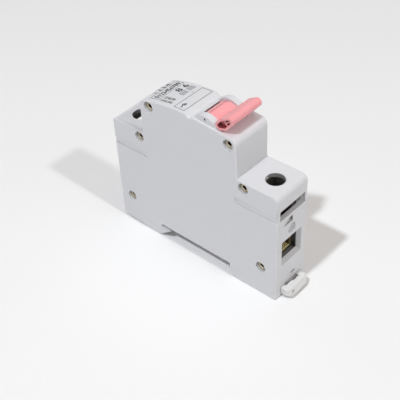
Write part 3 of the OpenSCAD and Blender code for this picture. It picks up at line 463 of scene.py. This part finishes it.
def round_shell(form, side_y):
    """Rounds a shell's outline and the rims of its counterbores and grooves."""
    corners = outline_corners(form, side_y)

    def outline(edge):
        start = edge.verts[0].co
        at_corner = (round(start.x / TOUCH), round(start.z / TOUCH)) in corners
        if near_rivet(edge) or at_groove(edge):
            return False
        return in_side_face(edge, side_y) or (runs_across(edge) and at_corner)

    round_edges(form, SIDE_EDGE_R, outline)
    round_edges(form, OPENING_EDGE_R, lambda e: in_side_face(e, side_y) and (near_rivet(e) or at_groove(e)),
                segments=1)
    refill_flat(form, side_y)


base_ends = [corner.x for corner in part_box("base_shell")]
load_bore_x = sum(corner.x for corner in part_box("load_screw")) / 2


def inside_terminal(face):
    """True for a face in the dark of a terminal chamber, its screw bore or behind its end wall."""
    middle = face.center
    in_length = (base_ends[0] + END_WALL < middle.x < BAY_X[0]
                 or BAY_X[1] < middle.x < base_ends[1] - END_WALL)
    in_height = FOOT_Z < middle.z < SHOULDER_Z - MM
    from_bore = Vector((middle.x - load_bore_x, middle.y)).normalized()
    lit = middle.z > LIT_Z and middle.x > 0 and from_bore.dot(LIT_SIDE) > LIT_SPREAD
    return in_length and in_height and abs(middle.y) < CHAMBER_HALF_W and not lit


def inside_mark(face):
    """True for the ends of the wedge mark and of the slit with its pin hole in the end faces, which get
    painted shade.
    """
    middle = face.center
    deep = any(MARK_DEPTH[0] < abs(middle.x - end) < MARK_DEPTH[1] for end in base_ends)
    in_wedge = MARK_WEDGE_Z[0] < middle.z < MARK_WEDGE_Z[1] and abs(middle.y - MARK_WEDGE_END) < 0.1 * MM
    in_slit = MARK_SLIT_Z[0] < middle.z < MARK_SLIT_Z[1] and MARK_SLIT_Y[0] < middle.y < MARK_SLIT_Y[1]
    return deep and (in_wedge or in_slit)


housing_plastic = moulded_plastic("housing_plastic_skin", HOUSING_GREY, 0.46)
painted_shade_plastic = moulded_plastic("housing_painted_shade", PAINTED_SHADE_GREY, 0.7)

near_y = cad_box[0].y
far_y = cad_box[1].y

cover_form = merged_copy("cover_shell")
round_shell(cover_form, near_y)
housing_cover = finished_piece(cover_form, "housing_cover", housing_plastic, "housing",
                               ["cover_shell"])

base_form = merged_copy("base_shell")
round_shell(base_form, far_y)
housing_base = finished_piece(base_form, "housing_base", housing_plastic, "housing",
                              ["base_shell"])

# painted shade: faces deep in the terminal chambers, their screw bores and the ends of the marks take a
# darker grey, except where the lamp past the load end reaches into the load bore
for shell in (housing_cover, housing_base):
    second_finish(shell, painted_shade_plastic, lambda face: inside_terminal(face) or inside_mark(face))


def skin_of(*pieces):
    """What a ray or a drop meets on finished pieces."""
    form = bmesh.new()
    for piece in pieces:
        form.from_mesh(piece.data)
    bmesh.ops.triangulate(form, faces=form.faces)
    surface = BVHTree.FromBMesh(form)
    form.free()
    return surface


housing_skin = skin_of(housing_cover, housing_base)


# ---------------------------------------------------------------- label print
# Grey pad print on the nose's domed top: plain numbers and ruled boxes where a maker's data would
# stand, and the general sign of a circuit breaker in a line frame. The ink lies on the plastic.

INK_GREY = (0.035, 0.036, 0.042)
INK_PALE = (0.15, 0.152, 0.165)
INK_PROUD = 0.016 * MM
INK_STEP = 0.9 * MM                          # between the cuts that let the ink follow the dome
RULE_W = 0.26 * MM
# figures, limits along X from the frame's line side and along Y from the middle in mm, and weight
BOLD_FIGURES = (
    ("1 2 3 4", (-15.7, -12.8), (-2.6, 5.1), 0.03),
    ("8", (-8.0, -5.1), (1.2, 3.5), 0.025),
    ("6", (-8.0, -5.1), (4.9, 6.9), 0.025),
)
BOXED_FIGURES = ("0123456789", (-11.8, -9.4), (-5.6, 7.0), 0.03)
FIGURE_BOX = ((-12.6, -8.6), (-6.4, 7.6))
FIGURE_BOX_LINE = 0.17 * MM
SMALL_FIGURES = (
    ("1234567890", (-7.6, -2.0), (-6.8, -5.5), 0.02),
    ("123456789", (-7.6, -2.6), (-4.8, -3.2), 0.02),
)
HATCH_STARTS = (0.0, 4.0)
HATCH_BOX_X = (-4.7, -2.2)
HATCH_BOX_W = 3.0
HATCH_BOX_LINE = 0.15 * MM
HATCH_PITCH = 0.42 * MM
HATCH_LINE = 0.18 * MM
HATCH_INSET = 0.3 * MM
SQUARE_DOT = ((-1.15, -0.75), (3.2, 3.6))
SIGN_LINE = 0.42 * MM
SIGN_IN = 1.0 * MM                           # frame's near side to the sign
SIGN_LEAD = 0.9 * MM
SIGN_GAP = 1.4 * MM
SIGN_BLADE = 1.7 * MM
SIGN_LEAN = math.radians(32)
CROSS_SIZE = (1.5 * MM, 0.36 * MM)

frame_corners = [place_seen_at(POINTS[name], housing_skin)
                 for name in ("frame_line_near", "frame_load_near", "frame_load_far", "frame_line_far")]
frame_line_x = (frame_corners[0].x + frame_corners[3].x) / 2
frame_load_x = (frame_corners[1].x + frame_corners[2].x) / 2
frame_near_y = (frame_corners[0].y + frame_corners[1].y) / 2
frame_far_y = (frame_corners[2].y + frame_corners[3].y) / 2


def pad_ink(name, colour):
    """Matt ink, thinner here and there so that the plastic shows through as a paler tone."""
    material = bpy.data.materials.new(name)
    material.use_nodes = True
    nodes = material.node_tree.nodes
    links = material.node_tree.links
    shader = nodes["Principled BSDF"]
    shader.inputs["Specular IOR Level"].default_value = 0.35
    place = nodes.new("ShaderNodeTexCoord")
    thin = nodes.new("ShaderNodeTexNoise")
    thin.inputs["Scale"].default_value = 2600
    thin.inputs["Detail"].default_value = 4
    cover = nodes.new("ShaderNodeMix")
    cover.data_type = "RGBA"
    cover.inputs["A"].default_value = (*[c * 0.85 for c in colour], 1)
    cover.inputs["B"].default_value = (*[min(1, c * 1.3) for c in colour], 1)
    gloss = nodes.new("ShaderNodeMapRange")
    gloss.inputs["To Min"].default_value = 0.5
    gloss.inputs["To Max"].default_value = 0.7
    bump = nodes.new("ShaderNodeBump")
    bump.inputs["Strength"].default_value = 0.4
    bump.inputs["Distance"].default_value = 0.000006
    links.new(place.outputs["Object"], thin.inputs["Vector"])
    links.new(thin.outputs["Fac"], cover.inputs["Factor"])
    links.new(cover.outputs["Result"], shader.inputs["Base Color"])
    links.new(thin.outputs["Fac"], gloss.inputs["Value"])
    links.new(gloss.outputs["Result"], shader.inputs["Roughness"])
    links.new(thin.outputs["Fac"], bump.inputs["Height"])
    links.new(bump.outputs["Normal"], shader.inputs["Normal"])
    return material


def add_rule(form, x, y, pivot=(0, 0), lean=0.0):
    """A filled box of ink, x and y each a pair of limits from a pivot that it leans about."""
    size = Matrix.Diagonal((x[1] - x[0], y[1] - y[0], 1, 1))
    middle = Matrix.Translation(((x[0] + x[1]) / 2, (y[0] + y[1]) / 2, 0))
    lay = Matrix.Translation((*pivot, 0)) @ Matrix.Rotation(lean, 4, "Z")
    bmesh.ops.create_grid(form, x_segments=1, y_segments=1, size=0.5, matrix=lay @ middle @ size)


def band(middle, width):
    """The limits of a line of that width."""
    return middle - width / 2, middle + width / 2


def add_box_lines(form, x, y, width):
    """The four lines of a box, drawn inside its limits."""
    before = set(form.faces)
    add_rule(form, x, y)
    sheet = [f for f in form.faces if f not in before]
    bmesh.ops.inset_region(form, faces=sheet, thickness=width, use_boundary=True, use_even_offset=True)
    bmesh.ops.delete(form, geom=sheet, context="FACES")


def add_figures(form, figures, x, y, weight=0.0, along_x=False):
    """Plain figures that fill x and y: read along +Y with their tops to the line end, or along X."""
    words = bpy.data.curves.new("figures", "FONT")
    words.body = figures
    words.offset = weight
    words.resolution_u = 3
    holder = bpy.data.objects.new("figures", words)
    scene.collection.objects.link(holder)
    bpy.context.view_layer.update()
    flat = bpy.data.meshes.new_from_object(holder.evaluated_get(bpy.context.evaluated_depsgraph_get()))
    bpy.data.objects.remove(holder)
    low = [min(v.co[i] for v in flat.vertices) for i in (0, 1)]
    high = [max(v.co[i] for v in flat.vertices) for i in (0, 1)]
    to_unit = (Matrix.Diagonal((1 / (high[0] - low[0]), 1 / (high[1] - low[1]), 1, 1))
               @ Matrix.Translation((-low[0], -low[1], 0)))
    size = Matrix.Diagonal((x[1] - x[0], y[1] - y[0], 1, 1))
    if along_x:
        lay = Matrix.Translation((x[0], y[0], 0)) @ size
    else:
        turn = Matrix(((0, -1, 0, 1), (1, 0, 0, 0), (0, 0, 1, 0), (0, 0, 0, 1)))
        lay = Matrix.Translation((x[0], y[0], 0)) @ size @ turn
    flat.transform(lay @ to_unit)
    form.from_mesh(flat)
    bpy.data.meshes.remove(flat)


def printed(form, name, ink):
    """Lays a flat drawing on the dome as a film of ink, cut across so that it follows the curve."""
    low = min(v.co.x for v in form.verts)
    high = max(v.co.x for v in form.verts)
    cut_x = math.floor(low / INK_STEP) * INK_STEP + INK_STEP
    while cut_x < high:
        bmesh.ops.bisect_plane(form, geom=form.verts[:] + form.edges[:] + form.faces[:], dist=WELD / 10,
                               plane_co=(cut_x, 0, 0), plane_no=(1, 0, 0))
        cut_x += INK_STEP
    above = cad_box[1].z + 10 * MM
    for vert in form.verts:
        ground = housing_skin.ray_cast(Vector((vert.co.x, vert.co.y, above)), Vector((0, 0, -1)))[0]
        vert.co.z = ground.z + INK_PROUD
    film = bmesh.ops.extrude_face_region(form, geom=form.faces[:], use_keep_orig=True)
    top = [v for v in film["geom"] if isinstance(v, bmesh.types.BMVert)]
    bmesh.ops.translate(form, verts=top, vec=(0, 0, INK_PROUD / 2))
    return finished_piece(form, name, ink, "housing")


dark_ink = pad_ink("print_ink_dark", INK_GREY)
pale_ink = pad_ink("print_ink_pale", INK_PALE)


def from_frame(*millimetres):
    """Limits along X, given from the line side of the printed frame."""
    return tuple(frame_line_x + m * MM for m in millimetres)


def across(*millimetres):
    """Limits along Y, given from the middle of the housing."""
    return tuple(m * MM for m in millimetres)


bold_print = bmesh.new()
for figures, x_limits, y_limits, weight in BOLD_FIGURES:
    add_figures(bold_print, figures, from_frame(*x_limits), across(*y_limits), weight)
printed(bold_print, "label_bold_figures", dark_ink)

boxed_print = bmesh.new()
add_box_lines(boxed_print, from_frame(*FIGURE_BOX[0]), across(*FIGURE_BOX[1]), FIGURE_BOX_LINE)
figures, x_limits, y_limits, weight = BOXED_FIGURES
add_figures(boxed_print, figures, from_frame(*x_limits), across(*y_limits), weight)
printed(boxed_print, "label_boxed_figures", dark_ink)

small_print = bmesh.new()
for figures, x_limits, y_limits, weight in SMALL_FIGURES:
    add_figures(small_print, figures, from_frame(*x_limits), across(*y_limits), weight, along_x=True)
printed(small_print, "label_small_figures", dark_ink)

hatch_print = bmesh.new()
for start_y in HATCH_STARTS:
    box_x = from_frame(*HATCH_BOX_X)
    box_y = across(start_y, start_y + HATCH_BOX_W)
    add_box_lines(hatch_print, box_x, box_y, HATCH_BOX_LINE)
    line_y = box_y[0] + HATCH_PITCH
    while line_y < box_y[1] - HATCH_PITCH / 2:
        add_rule(hatch_print, (box_x[0] + HATCH_INSET, box_x[1] - HATCH_INSET), band(line_y, HATCH_LINE))
        line_y += HATCH_PITCH
add_rule(hatch_print, from_frame(*SQUARE_DOT[0]), across(*SQUARE_DOT[1]))
printed(hatch_print, "label_hatched_boxes", pale_ink)

frame_print = bmesh.new()
add_box_lines(frame_print, (frame_line_x, frame_load_x), (frame_near_y, frame_far_y), RULE_W)
printed(frame_print, "label_frame", pale_ink)

# general sign of a breaker contact: a lead, an open blade, and a lead with a cross at its contact
sign_print = bmesh.new()
sign_x = (frame_line_x + frame_load_x) / 2
blade_foot = (sign_x, frame_near_y + SIGN_IN + SIGN_LEAD)
far_contact = (sign_x, blade_foot[1] + SIGN_GAP)
lead_width = band(0, SIGN_LINE)
add_rule(sign_print, lead_width, (-SIGN_LEAD, 0), blade_foot)
add_rule(sign_print, lead_width, (0, SIGN_LEAD), far_contact)
add_rule(sign_print, lead_width, (0, SIGN_BLADE), blade_foot, SIGN_LEAN)
for lean in (math.pi / 4, -math.pi / 4):
    add_rule(sign_print, band(0, CROSS_SIZE[0]), band(0, CROSS_SIZE[1]), far_contact, lean)
printed(sign_print, "label_switch_sign", dark_ink)


# ---------------------------------------------------------------- rivets
# Six tubular brass rivets hold the shells together. Each end is rolled over outwards in its
# counterbore, which leaves a round-lipped head with a deep eye, whose bore is painted dark as shade.

RIVET_BRASS = (0.56, 0.49, 0.35)
RIVET_EYE_SHADE = (0.06, 0.045, 0.03)
RIVET_TURNS = 40
RIVET_HEAD_T = 0.6 * MM
RIVET_EYE_R = 0.88 * MM


def worked_metal(name, colour, roughness, tarnish=0.12, scratch=0.000004, along=(1, 1, 1), stain=None):
    """Bare or plated metal: tarnish in soft patches, uneven polish and fine working marks."""
    material = bpy.data.materials.new(name)
    material.use_nodes = True
    nodes = material.node_tree.nodes
    links = material.node_tree.links
    shader = nodes["Principled BSDF"]
    shader.inputs["Metallic"].default_value = 1
    place = nodes.new("ShaderNodeTexCoord")
    patches = nodes.new("ShaderNodeTexNoise")
    patches.inputs["Scale"].default_value = 420
    patches.inputs["Detail"].default_value = 6
    patches.inputs["Roughness"].default_value = 0.65
    tone = nodes.new("ShaderNodeMix")
    tone.data_type = "RGBA"
    tone.inputs["A"].default_value = (*(stain or [c * (1 - 2 * tarnish) for c in colour]), 1)
    tone.inputs["B"].default_value = (*[min(1, c * (1 + tarnish / 2)) for c in colour], 1)
    polish = nodes.new("ShaderNodeMapRange")
    polish.inputs["To Min"].default_value = roughness + 0.12
    polish.inputs["To Max"].default_value = roughness - 0.08
    stretch = nodes.new("ShaderNodeMapping")
    stretch.inputs["Scale"].default_value = along
    marks = nodes.new("ShaderNodeTexNoise")
    marks.inputs["Scale"].default_value = 5200
    marks.inputs["Detail"].default_value = 3
    bump = nodes.new("ShaderNodeBump")
    bump.inputs["Strength"].default_value = 0.6
    bump.inputs["Distance"].default_value = scratch
    links.new(place.outputs["Object"], patches.inputs["Vector"])
    links.new(patches.outputs["Fac"], tone.inputs["Factor"])
    links.new(tone.outputs["Result"], shader.inputs["Base Color"])
    links.new(patches.outputs["Fac"], polish.inputs["Value"])
    links.new(polish.outputs["Result"], shader.inputs["Roughness"])
    links.new(place.outputs["Object"], stretch.inputs["Vector"])
    links.new(stretch.outputs["Vector"], marks.inputs["Vector"])
    links.new(marks.outputs["Fac"], bump.inputs["Height"])
    links.new(bump.outputs["Normal"], shader.inputs["Normal"])
    return material


# the tube's wall from the middle of its length to the rolled lip, as radius and distance from the
# counterbore's floor outwards
RIVET_WALL = [(0.80, -3.0), (0.80, 0.15), (0.86, 0.42), (1.05, 0.62), (1.32, 0.68), (1.62, 0.62),
              (1.86, 0.42), (1.95, 0.18), (1.93, 0.0), (1.4, 0.0), (1.4, -3.0)]
rivet_lo, rivet_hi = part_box("rivets")
rivet_set = bmesh.new()
for rivet_x, rivet_z in rivet_places:
    for head_y, out in ((rivet_lo.y + RIVET_HEAD_T, -1), (rivet_hi.y - RIVET_HEAD_T, 1)):
        wall = [rivet_set.verts.new((rivet_x + r * MM, head_y + out * h * MM, rivet_z))
                for r, h in RIVET_WALL]
        wall[0].co.y = 0
        wall[-1].co.y = 0
        strip = [rivet_set.edges.new(pair) for pair in zip(wall, wall[1:])]
        bmesh.ops.spin(rivet_set, geom=wall + strip, cent=(rivet_x, 0, rivet_z), axis=(0, 1, 0),
                       angle=math.tau, steps=RIVET_TURNS, use_merge=True)
bmesh.ops.remove_doubles(rivet_set, verts=rivet_set.verts, dist=WELD)
bmesh.ops.recalc_face_normals(rivet_set, faces=rivet_set.faces)
rivet_brass = worked_metal("rivet_brass_rolled", RIVET_BRASS, 0.36, tarnish=0.2)
rolled_rivets = finished_piece(rivet_set, "rolled_rivets", rivet_brass, "housing", ["rivets"])
# painted shade: the faces inside each rivet's eye take a near-black metal
eye_shade_metal = worked_metal("rivet_eye_painted_shade", RIVET_EYE_SHADE, 0.6, tarnish=0.3)
second_finish(rolled_rivets, eye_shade_metal, lambda face: any(
    math.hypot(face.center.x - x, face.center.z - z) < RIVET_EYE_R for x, z in rivet_places))


# ---------------------------------------------------------------- rail clip
# Foot of the load end: a flat slide of nearly white plastic with a screwdriver loop, pushed
# towards the rail by a small coil spring.

CLIP_WHITE = (0.73, 0.725, 0.715)
CLIP_EDGE_R = 0.18 * MM
SPRING_GREY = (0.52, 0.52, 0.53)

clip_plastic = moulded_plastic("clip_plastic_skin", CLIP_WHITE, 0.42)
clip_form = merged_copy("din_clip")
round_edges(clip_form, CLIP_EDGE_R, longer_than(0.25 * MM))
rail_clip = finished_piece(clip_form, "rail_clip", clip_plastic, "din_clip", ["din_clip"])

spring_steel = worked_metal("spring_wire", SPRING_GREY, 0.30, tarnish=0.1)
frame["nodes"]["din_clip_spring"].material_slots[0].material = spring_steel


# ---------------------------------------------------------------- terminals
# At each end a clamp cage of yellow-zinced steel rides on its screw and lifts the wire against a
# copper tongue. Blunt teeth on the cage's floor bite into the strands.

ZINC_YELLOW = (0.80, 0.68, 0.38)
ZINC_STAIN = (0.55, 0.50, 0.24)
ZINC_IN_SHADE = (0.20, 0.165, 0.10)              # painted shade: the cages' zinc made darker, deep in their chambers
STRIP_RED = (0.78, 0.42, 0.27)
CAGE_EDGE_R = 0.15 * MM
SCREW_EDGE_R = 0.12 * MM
TOOTH_PITCH = 0.8 * MM
TOOTH_R = 0.44 * MM
TOOTH_SHAPE = (0.8, 0.9, 0.75)               # of the radius along, across and up
TOOTH_ROWS = 4
TOOTH_COLUMNS = 10

yellow_zinc = worked_metal("yellow_zinc_plate", ZINC_YELLOW, 0.36, tarnish=0.16, stain=ZINC_STAIN)
zinc_in_shade = worked_metal("zinc_plate_painted_shade", ZINC_IN_SHADE, 0.5, tarnish=0.2)
strip_copper = worked_metal("rolled_copper", STRIP_RED, 0.32, tarnish=0.15, along=(0.2, 1, 1))

cage_pieces = {}
# the cages take the darker zinc, painted shade of their chambers
for end in ("line", "load"):
    cage_form = merged_copy(end + "_cage")
    round_edges(cage_form, CAGE_EDGE_R, longer_than(0.4 * MM))
    cage_pieces[end] = finished_piece(cage_form, end + "_clamp_cage", zinc_in_shade, end + "_cage",
                                      [end + "_cage"])
    screw_form = merged_copy(end + "_screw")
    round_edges(screw_form, SCREW_EDGE_R, longer_than(0.2 * MM))
    finished_piece(screw_form, end + "_clamp_screw", yellow_zinc, end + "_screw",
                   [end + "_screw"])
    frame["nodes"][end + "_tongue"].material_slots[0].material = strip_copper

# rows of blunt teeth rolled into the floor of each cage, behind its mouth, to hold the strands
cage_skin = skin_of(cage_pieces["load"])
teeth_seen = place_seen_at(POINTS["clamp_teeth"], cage_skin)
load_mouth_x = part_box("load_cage")[1].x
line_mouth_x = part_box("line_cage")[0].x
mouth_gap = load_mouth_x - teeth_seen.x
tooth_tops = []
for end, mouth_x, inward in (("load", load_mouth_x, -1), ("line", line_mouth_x, 1)):
    teeth_form = bmesh.new()
    for row in range(TOOTH_ROWS):
        for column in range(TOOTH_COLUMNS):
            middle = Vector((mouth_x + inward * (mouth_gap + row * TOOTH_PITCH),
                             (column - (TOOTH_COLUMNS - 1) / 2) * TOOTH_PITCH,
                             teeth_seen.z))
            made = bmesh.ops.create_icosphere(teeth_form, subdivisions=2, radius=TOOTH_R,
                                              matrix=Matrix.Translation(middle))
            bmesh.ops.scale(teeth_form, verts=made["verts"], vec=TOOTH_SHAPE,
                            space=Matrix.Translation(-middle))
            tooth_tops.append(middle + Vector((0, 0, TOOTH_R * TOOTH_SHAPE[2])))
    finished_piece(teeth_form, end + "_clamp_teeth", yellow_zinc, end + "_cage")


# ---------------------------------------------------------------- contacts
# The moving contact's copper arm is moulded into a black carrier on a steel pin; both contacts end
# in a brazed silver button, and a braid carries the current away.

CARRIER_BLACK = (0.035, 0.035, 0.038)
PIN_GREY = (0.56, 0.56, 0.57)
CONTACT_SILVER = (0.86, 0.85, 0.82)
BRAID_RED = (0.76, 0.40, 0.26)

black_plastic = moulded_plastic("black_glass_filled_plastic", CARRIER_BLACK, 0.5, cloud_depth=0.15)
turned_steel = worked_metal("turned_pin_steel", PIN_GREY, 0.28, along=(1, 0.1, 1))
contact_silver = worked_metal("brazed_contact_silver", CONTACT_SILVER, 0.26, tarnish=0.08)
braid_copper = worked_metal("plaited_copper", BRAID_RED, 0.45, tarnish=0.3, scratch=0.00006,
                            along=(0.4, 1, 0.4))
contact_metals = {
    "contact_carrier": black_plastic,
    "moving_contact_arm": strip_copper,
    "moving_contact_tip": contact_silver,
    "carrier_pin": turned_steel,
    "main_spring": spring_steel,
    "fixed_contact": strip_copper,
    "fixed_contact_tip": contact_silver,
    "contact_braid": braid_copper,
}
for node, material in contact_metals.items():
    frame["nodes"][node].material_slots[0].material = material


# ---------------------------------------------------------------- arc chute
# Nine steel plates held in two walls of vulcanised fibre split the arc, which runs to them on a
# bent steel strip.

PLATE_GREY = (0.50, 0.50, 0.49)
FIBRE_TAN = (0.55, 0.44, 0.33)

plate_steel = worked_metal("galvanised_plate_steel", PLATE_GREY, 0.42, tarnish=0.2)
fibre_board = moulded_plastic("vulcanised_fibre", FIBRE_TAN, 0.7, cloud_depth=0.12, grain=0.00003)
frame["nodes"]["arc_plates"].material_slots[0].material = plate_steel
frame["nodes"]["arc_side_walls"].material_slots[0].material = fibre_board
frame["nodes"]["arc_runner"].material_slots[0].material = plate_steel


# ---------------------------------------------------------------- trip coil
# Thick copper wire on a cream bobbin pulls the plunger against its spring when a short circuit
# comes; a bent steel yoke closes the magnet's path.

BOBBIN_CREAM = (0.78, 0.72, 0.60)
ENAMEL_RED = (0.62, 0.26, 0.13)
CORE_GREY = (0.58, 0.58, 0.59)

cream_plastic = moulded_plastic("cream_bobbin_plastic", BOBBIN_CREAM, 0.45)
coil_copper = worked_metal("enamelled_copper_wire", ENAMEL_RED, 0.25, tarnish=0.12)
bright_steel = worked_metal("bright_core_steel", CORE_GREY, 0.24, along=(0.1, 1, 1))
coil_materials = {
    "coil_bobbin": cream_plastic,
    "coil_winding": coil_copper,
    "fixed_core": bright_steel,
    "plunger": bright_steel,
    "plunger_spring": spring_steel,
    "magnet_yoke": plate_steel,
}
for node, material in coil_materials.items():
    frame["nodes"][node].material_slots[0].material = material


# ---------------------------------------------------------------- thermal release
# A strip rolled from two metals bends when it warms and pushes the black plastic trip lever, which
# turns on a steel pin. The screw in the strip's bracket sets how far it has to bend.

BIMETAL_GREY = (0.55, 0.53, 0.50)
HEAT_STAIN = (0.45, 0.36, 0.30)

bimetal = worked_metal("rolled_bimetal", BIMETAL_GREY, 0.33, tarnish=0.18, stain=HEAT_STAIN,
                       along=(1, 1, 0.1))
thermal_materials = {
    "bimetal_strip": bimetal,
    "calibration_screw": turned_steel,
    "trip_lever": black_plastic,
    "trip_pin": turned_steel,
    "trip_spring": spring_steel,
}
for node, material in thermal_materials.items():
    frame["nodes"][node].material_slots[0].material = material


# ---------------------------------------------------------------- toggle
# Operating handle of salmon-pink plastic on two trunnions: a drum in the nose, and a crossbar with
# hollow ends. A torsion spring and a wire link join it to the mechanism.

TOGGLE_PINK = (0.93, 0.385, 0.405)
TOGGLE_SHADE_RED = (0.30, 0.045, 0.05)
# painted shade: black of the plugs in the cheek holes
CHEEK_SHADE_BLACK = (0.06, 0.06, 0.06)
TOGGLE_EDGE_R = 0.15 * MM
BAR_HOLLOW_Y = 5.6 * MM
HOLLOW_REACH = 4.5 * MM
# painted shadow: middle and size of the dark strip at the drum's step
DRUM_STEP_SHADOW = Vector((6.35, 0.0, 61.99)) * MM
DRUM_STEP_SHADOW_SIZE = Vector((0.16, 10.3, 0.2)) * MM
CHEEK_HOLE_UP = 5.1 * MM                     # toggle's axis to the small holes in the cheeks
CHEEK_Y = 7.95 * MM
# painted shade: how deep, wide and long the dark plugs in the cheek holes are
SHADE_PLUG_SUNK = 0.03 * MM
SHADE_PLUG_R = 0.43 * MM
SHADE_PLUG_L = 1.0 * MM

# painted shade: dark red for the faces inside the crossbar's hollow ends and for the strip at the drum's
# step
toggle_painted_shade = moulded_plastic("toggle_painted_shade_red", TOGGLE_SHADE_RED, 0.5)
cheek_hole_shade = worked_metal("cheek_hole_painted_shade", CHEEK_SHADE_BLACK, 0.5)
toggle_plastic = moulded_plastic("toggle_plastic_skin", TOGGLE_PINK, 0.42, sheen_through=0.25)
toggle_plastic.node_tree.nodes["Principled BSDF"].inputs["Specular IOR Level"].default_value = 0.3
toggle_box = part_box("toggle")
toggle_form = merged_copy("toggle")
round_edges(toggle_form, TOGGLE_EDGE_R, longer_than(0.3 * MM))
toggle_lever = finished_piece(toggle_form, "toggle_lever", toggle_plastic, "toggle",
                              ["toggle"])
toggle_skin = skin_of(toggle_lever)


def in_bar_hollow(face):
    """True for a face within a hollow end of the crossbar, where a wall stands opposite; these faces get
    painted shade.
    """
    lift = face.center + face.normal * 0.02 * MM
    enclosed = toggle_skin.ray_cast(lift, face.normal, HOLLOW_REACH)[0] is not None
    return enclosed and BAR_HOLLOW_Y < abs(face.center.y) < toggle_box[1].y - 0.05 * MM


second_finish(toggle_lever, toggle_painted_shade, in_bar_hollow)

# a thin dark red strip along the drum, where its crown steps down: painted shadow of the step
step_shadow_form = bmesh.new()
bmesh.ops.create_cube(step_shadow_form, size=1, matrix=Matrix.Translation(DRUM_STEP_SHADOW)
                      @ Matrix.Diagonal((*DRUM_STEP_SHADOW_SIZE, 1)))
bmesh.ops.bevel(step_shadow_form, geom=step_shadow_form.edges[:], offset=0.04 * MM, offset_type="OFFSET", segments=1,
                profile=0.5, affect="EDGES", material=-1)
finished_piece(step_shadow_form, "toggle_drum_step_shadow", toggle_painted_shade, "toggle")

# dark plugs sunk in the small holes of the housing's cheeks: painted shade inside the holes
toggle_axis = Vector(next(joint["pos_m"] for joint in frame["joints"] if joint["name"] == "toggle_turn"))
cheek_hole = toggle_axis + Vector((0, -CHEEK_Y, CHEEK_HOLE_UP))
cheek_form = bmesh.new()
for side in (-1, 1):
    plug_middle = (cheek_hole.x, side * (CHEEK_Y - SHADE_PLUG_SUNK - SHADE_PLUG_L / 2), cheek_hole.z)
    bmesh.ops.create_cone(cheek_form, cap_ends=True, segments=24, radius1=SHADE_PLUG_R, radius2=SHADE_PLUG_R,
                          depth=SHADE_PLUG_L,
                          matrix=Matrix.Translation(plug_middle) @ Matrix.Rotation(math.pi / 2, 4, "X"))
bmesh.ops.bevel(cheek_form, geom=[e for e in cheek_form.edges if e.calc_face_angle() > 1], offset=0.06 * MM,
                offset_type="OFFSET", segments=2, profile=0.5, affect="EDGES", material=-1)
finished_piece(cheek_form, "cheek_hole_shade_plugs", cheek_hole_shade, "housing")
frame["nodes"]["toggle_spring"].material_slots[0].material = spring_steel
frame["nodes"]["link_wire"].material_slots[0].material = spring_steel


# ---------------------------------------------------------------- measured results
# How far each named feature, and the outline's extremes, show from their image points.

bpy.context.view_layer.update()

frame_x = (frame_line_x, frame_load_x)
frame_y = (frame_near_y, frame_far_y)
dome_top = {(x, y): housing_skin.ray_cast(Vector((x, y, cad_box[1].z + MM)), Vector((0, 0, -1)))[0]
            for x in frame_x for y in frame_y}
places = {
    "cheek_hole": cheek_hole,
    "load_screw_hole": Vector((load_bore_x, 0, SHOULDER_Z)),
    "frame_line_near": dome_top[frame_x[0], frame_y[0]],
    "frame_load_near": dome_top[frame_x[1], frame_y[0]],
    "frame_load_far": dome_top[frame_x[1], frame_y[1]],
    "frame_line_far": dome_top[frame_x[0], frame_y[1]],
}
rivet_images = [image_of(Vector((x, near_y, z))) for x, z in rivet_places]
shown = {name: image_of(place) for name, place in places.items()}
for name, point in POINTS.items():
    if "_rivet_" in name:
        shown[name] = min(rivet_images, key=lambda at: math.dist(at, point))
shown["clamp_teeth"] = min((image_of(top) for top in tooth_tops),
                           key=lambda at: math.dist(at, POINTS["clamp_teeth"]))
outer_images = [image_of(vert.co) for piece in (housing_cover, housing_base, rail_clip, toggle_lever)
                for vert in piece.data.vertices]
point_report = {name: [round(at[0] - POINTS[name][0], 2), round(at[1] - POINTS[name][1], 2)]
                for name, at in shown.items()}
point_report["left_edge"] = [round(min(at[0] for at in outer_images) - POINTS["left_edge"][0], 2), None]
point_report["right_edge"] = [round(max(at[0] for at in outer_images) - POINTS["right_edge"][0], 2), None]
point_report["top_edge"] = [None, round(min(at[1] for at in outer_images) - POINTS["top_edge"][1], 2)]
point_report["bottom_edge"] = [None, round(max(at[1] for at in outer_images) - POINTS["bottom_edge"][1], 2)]
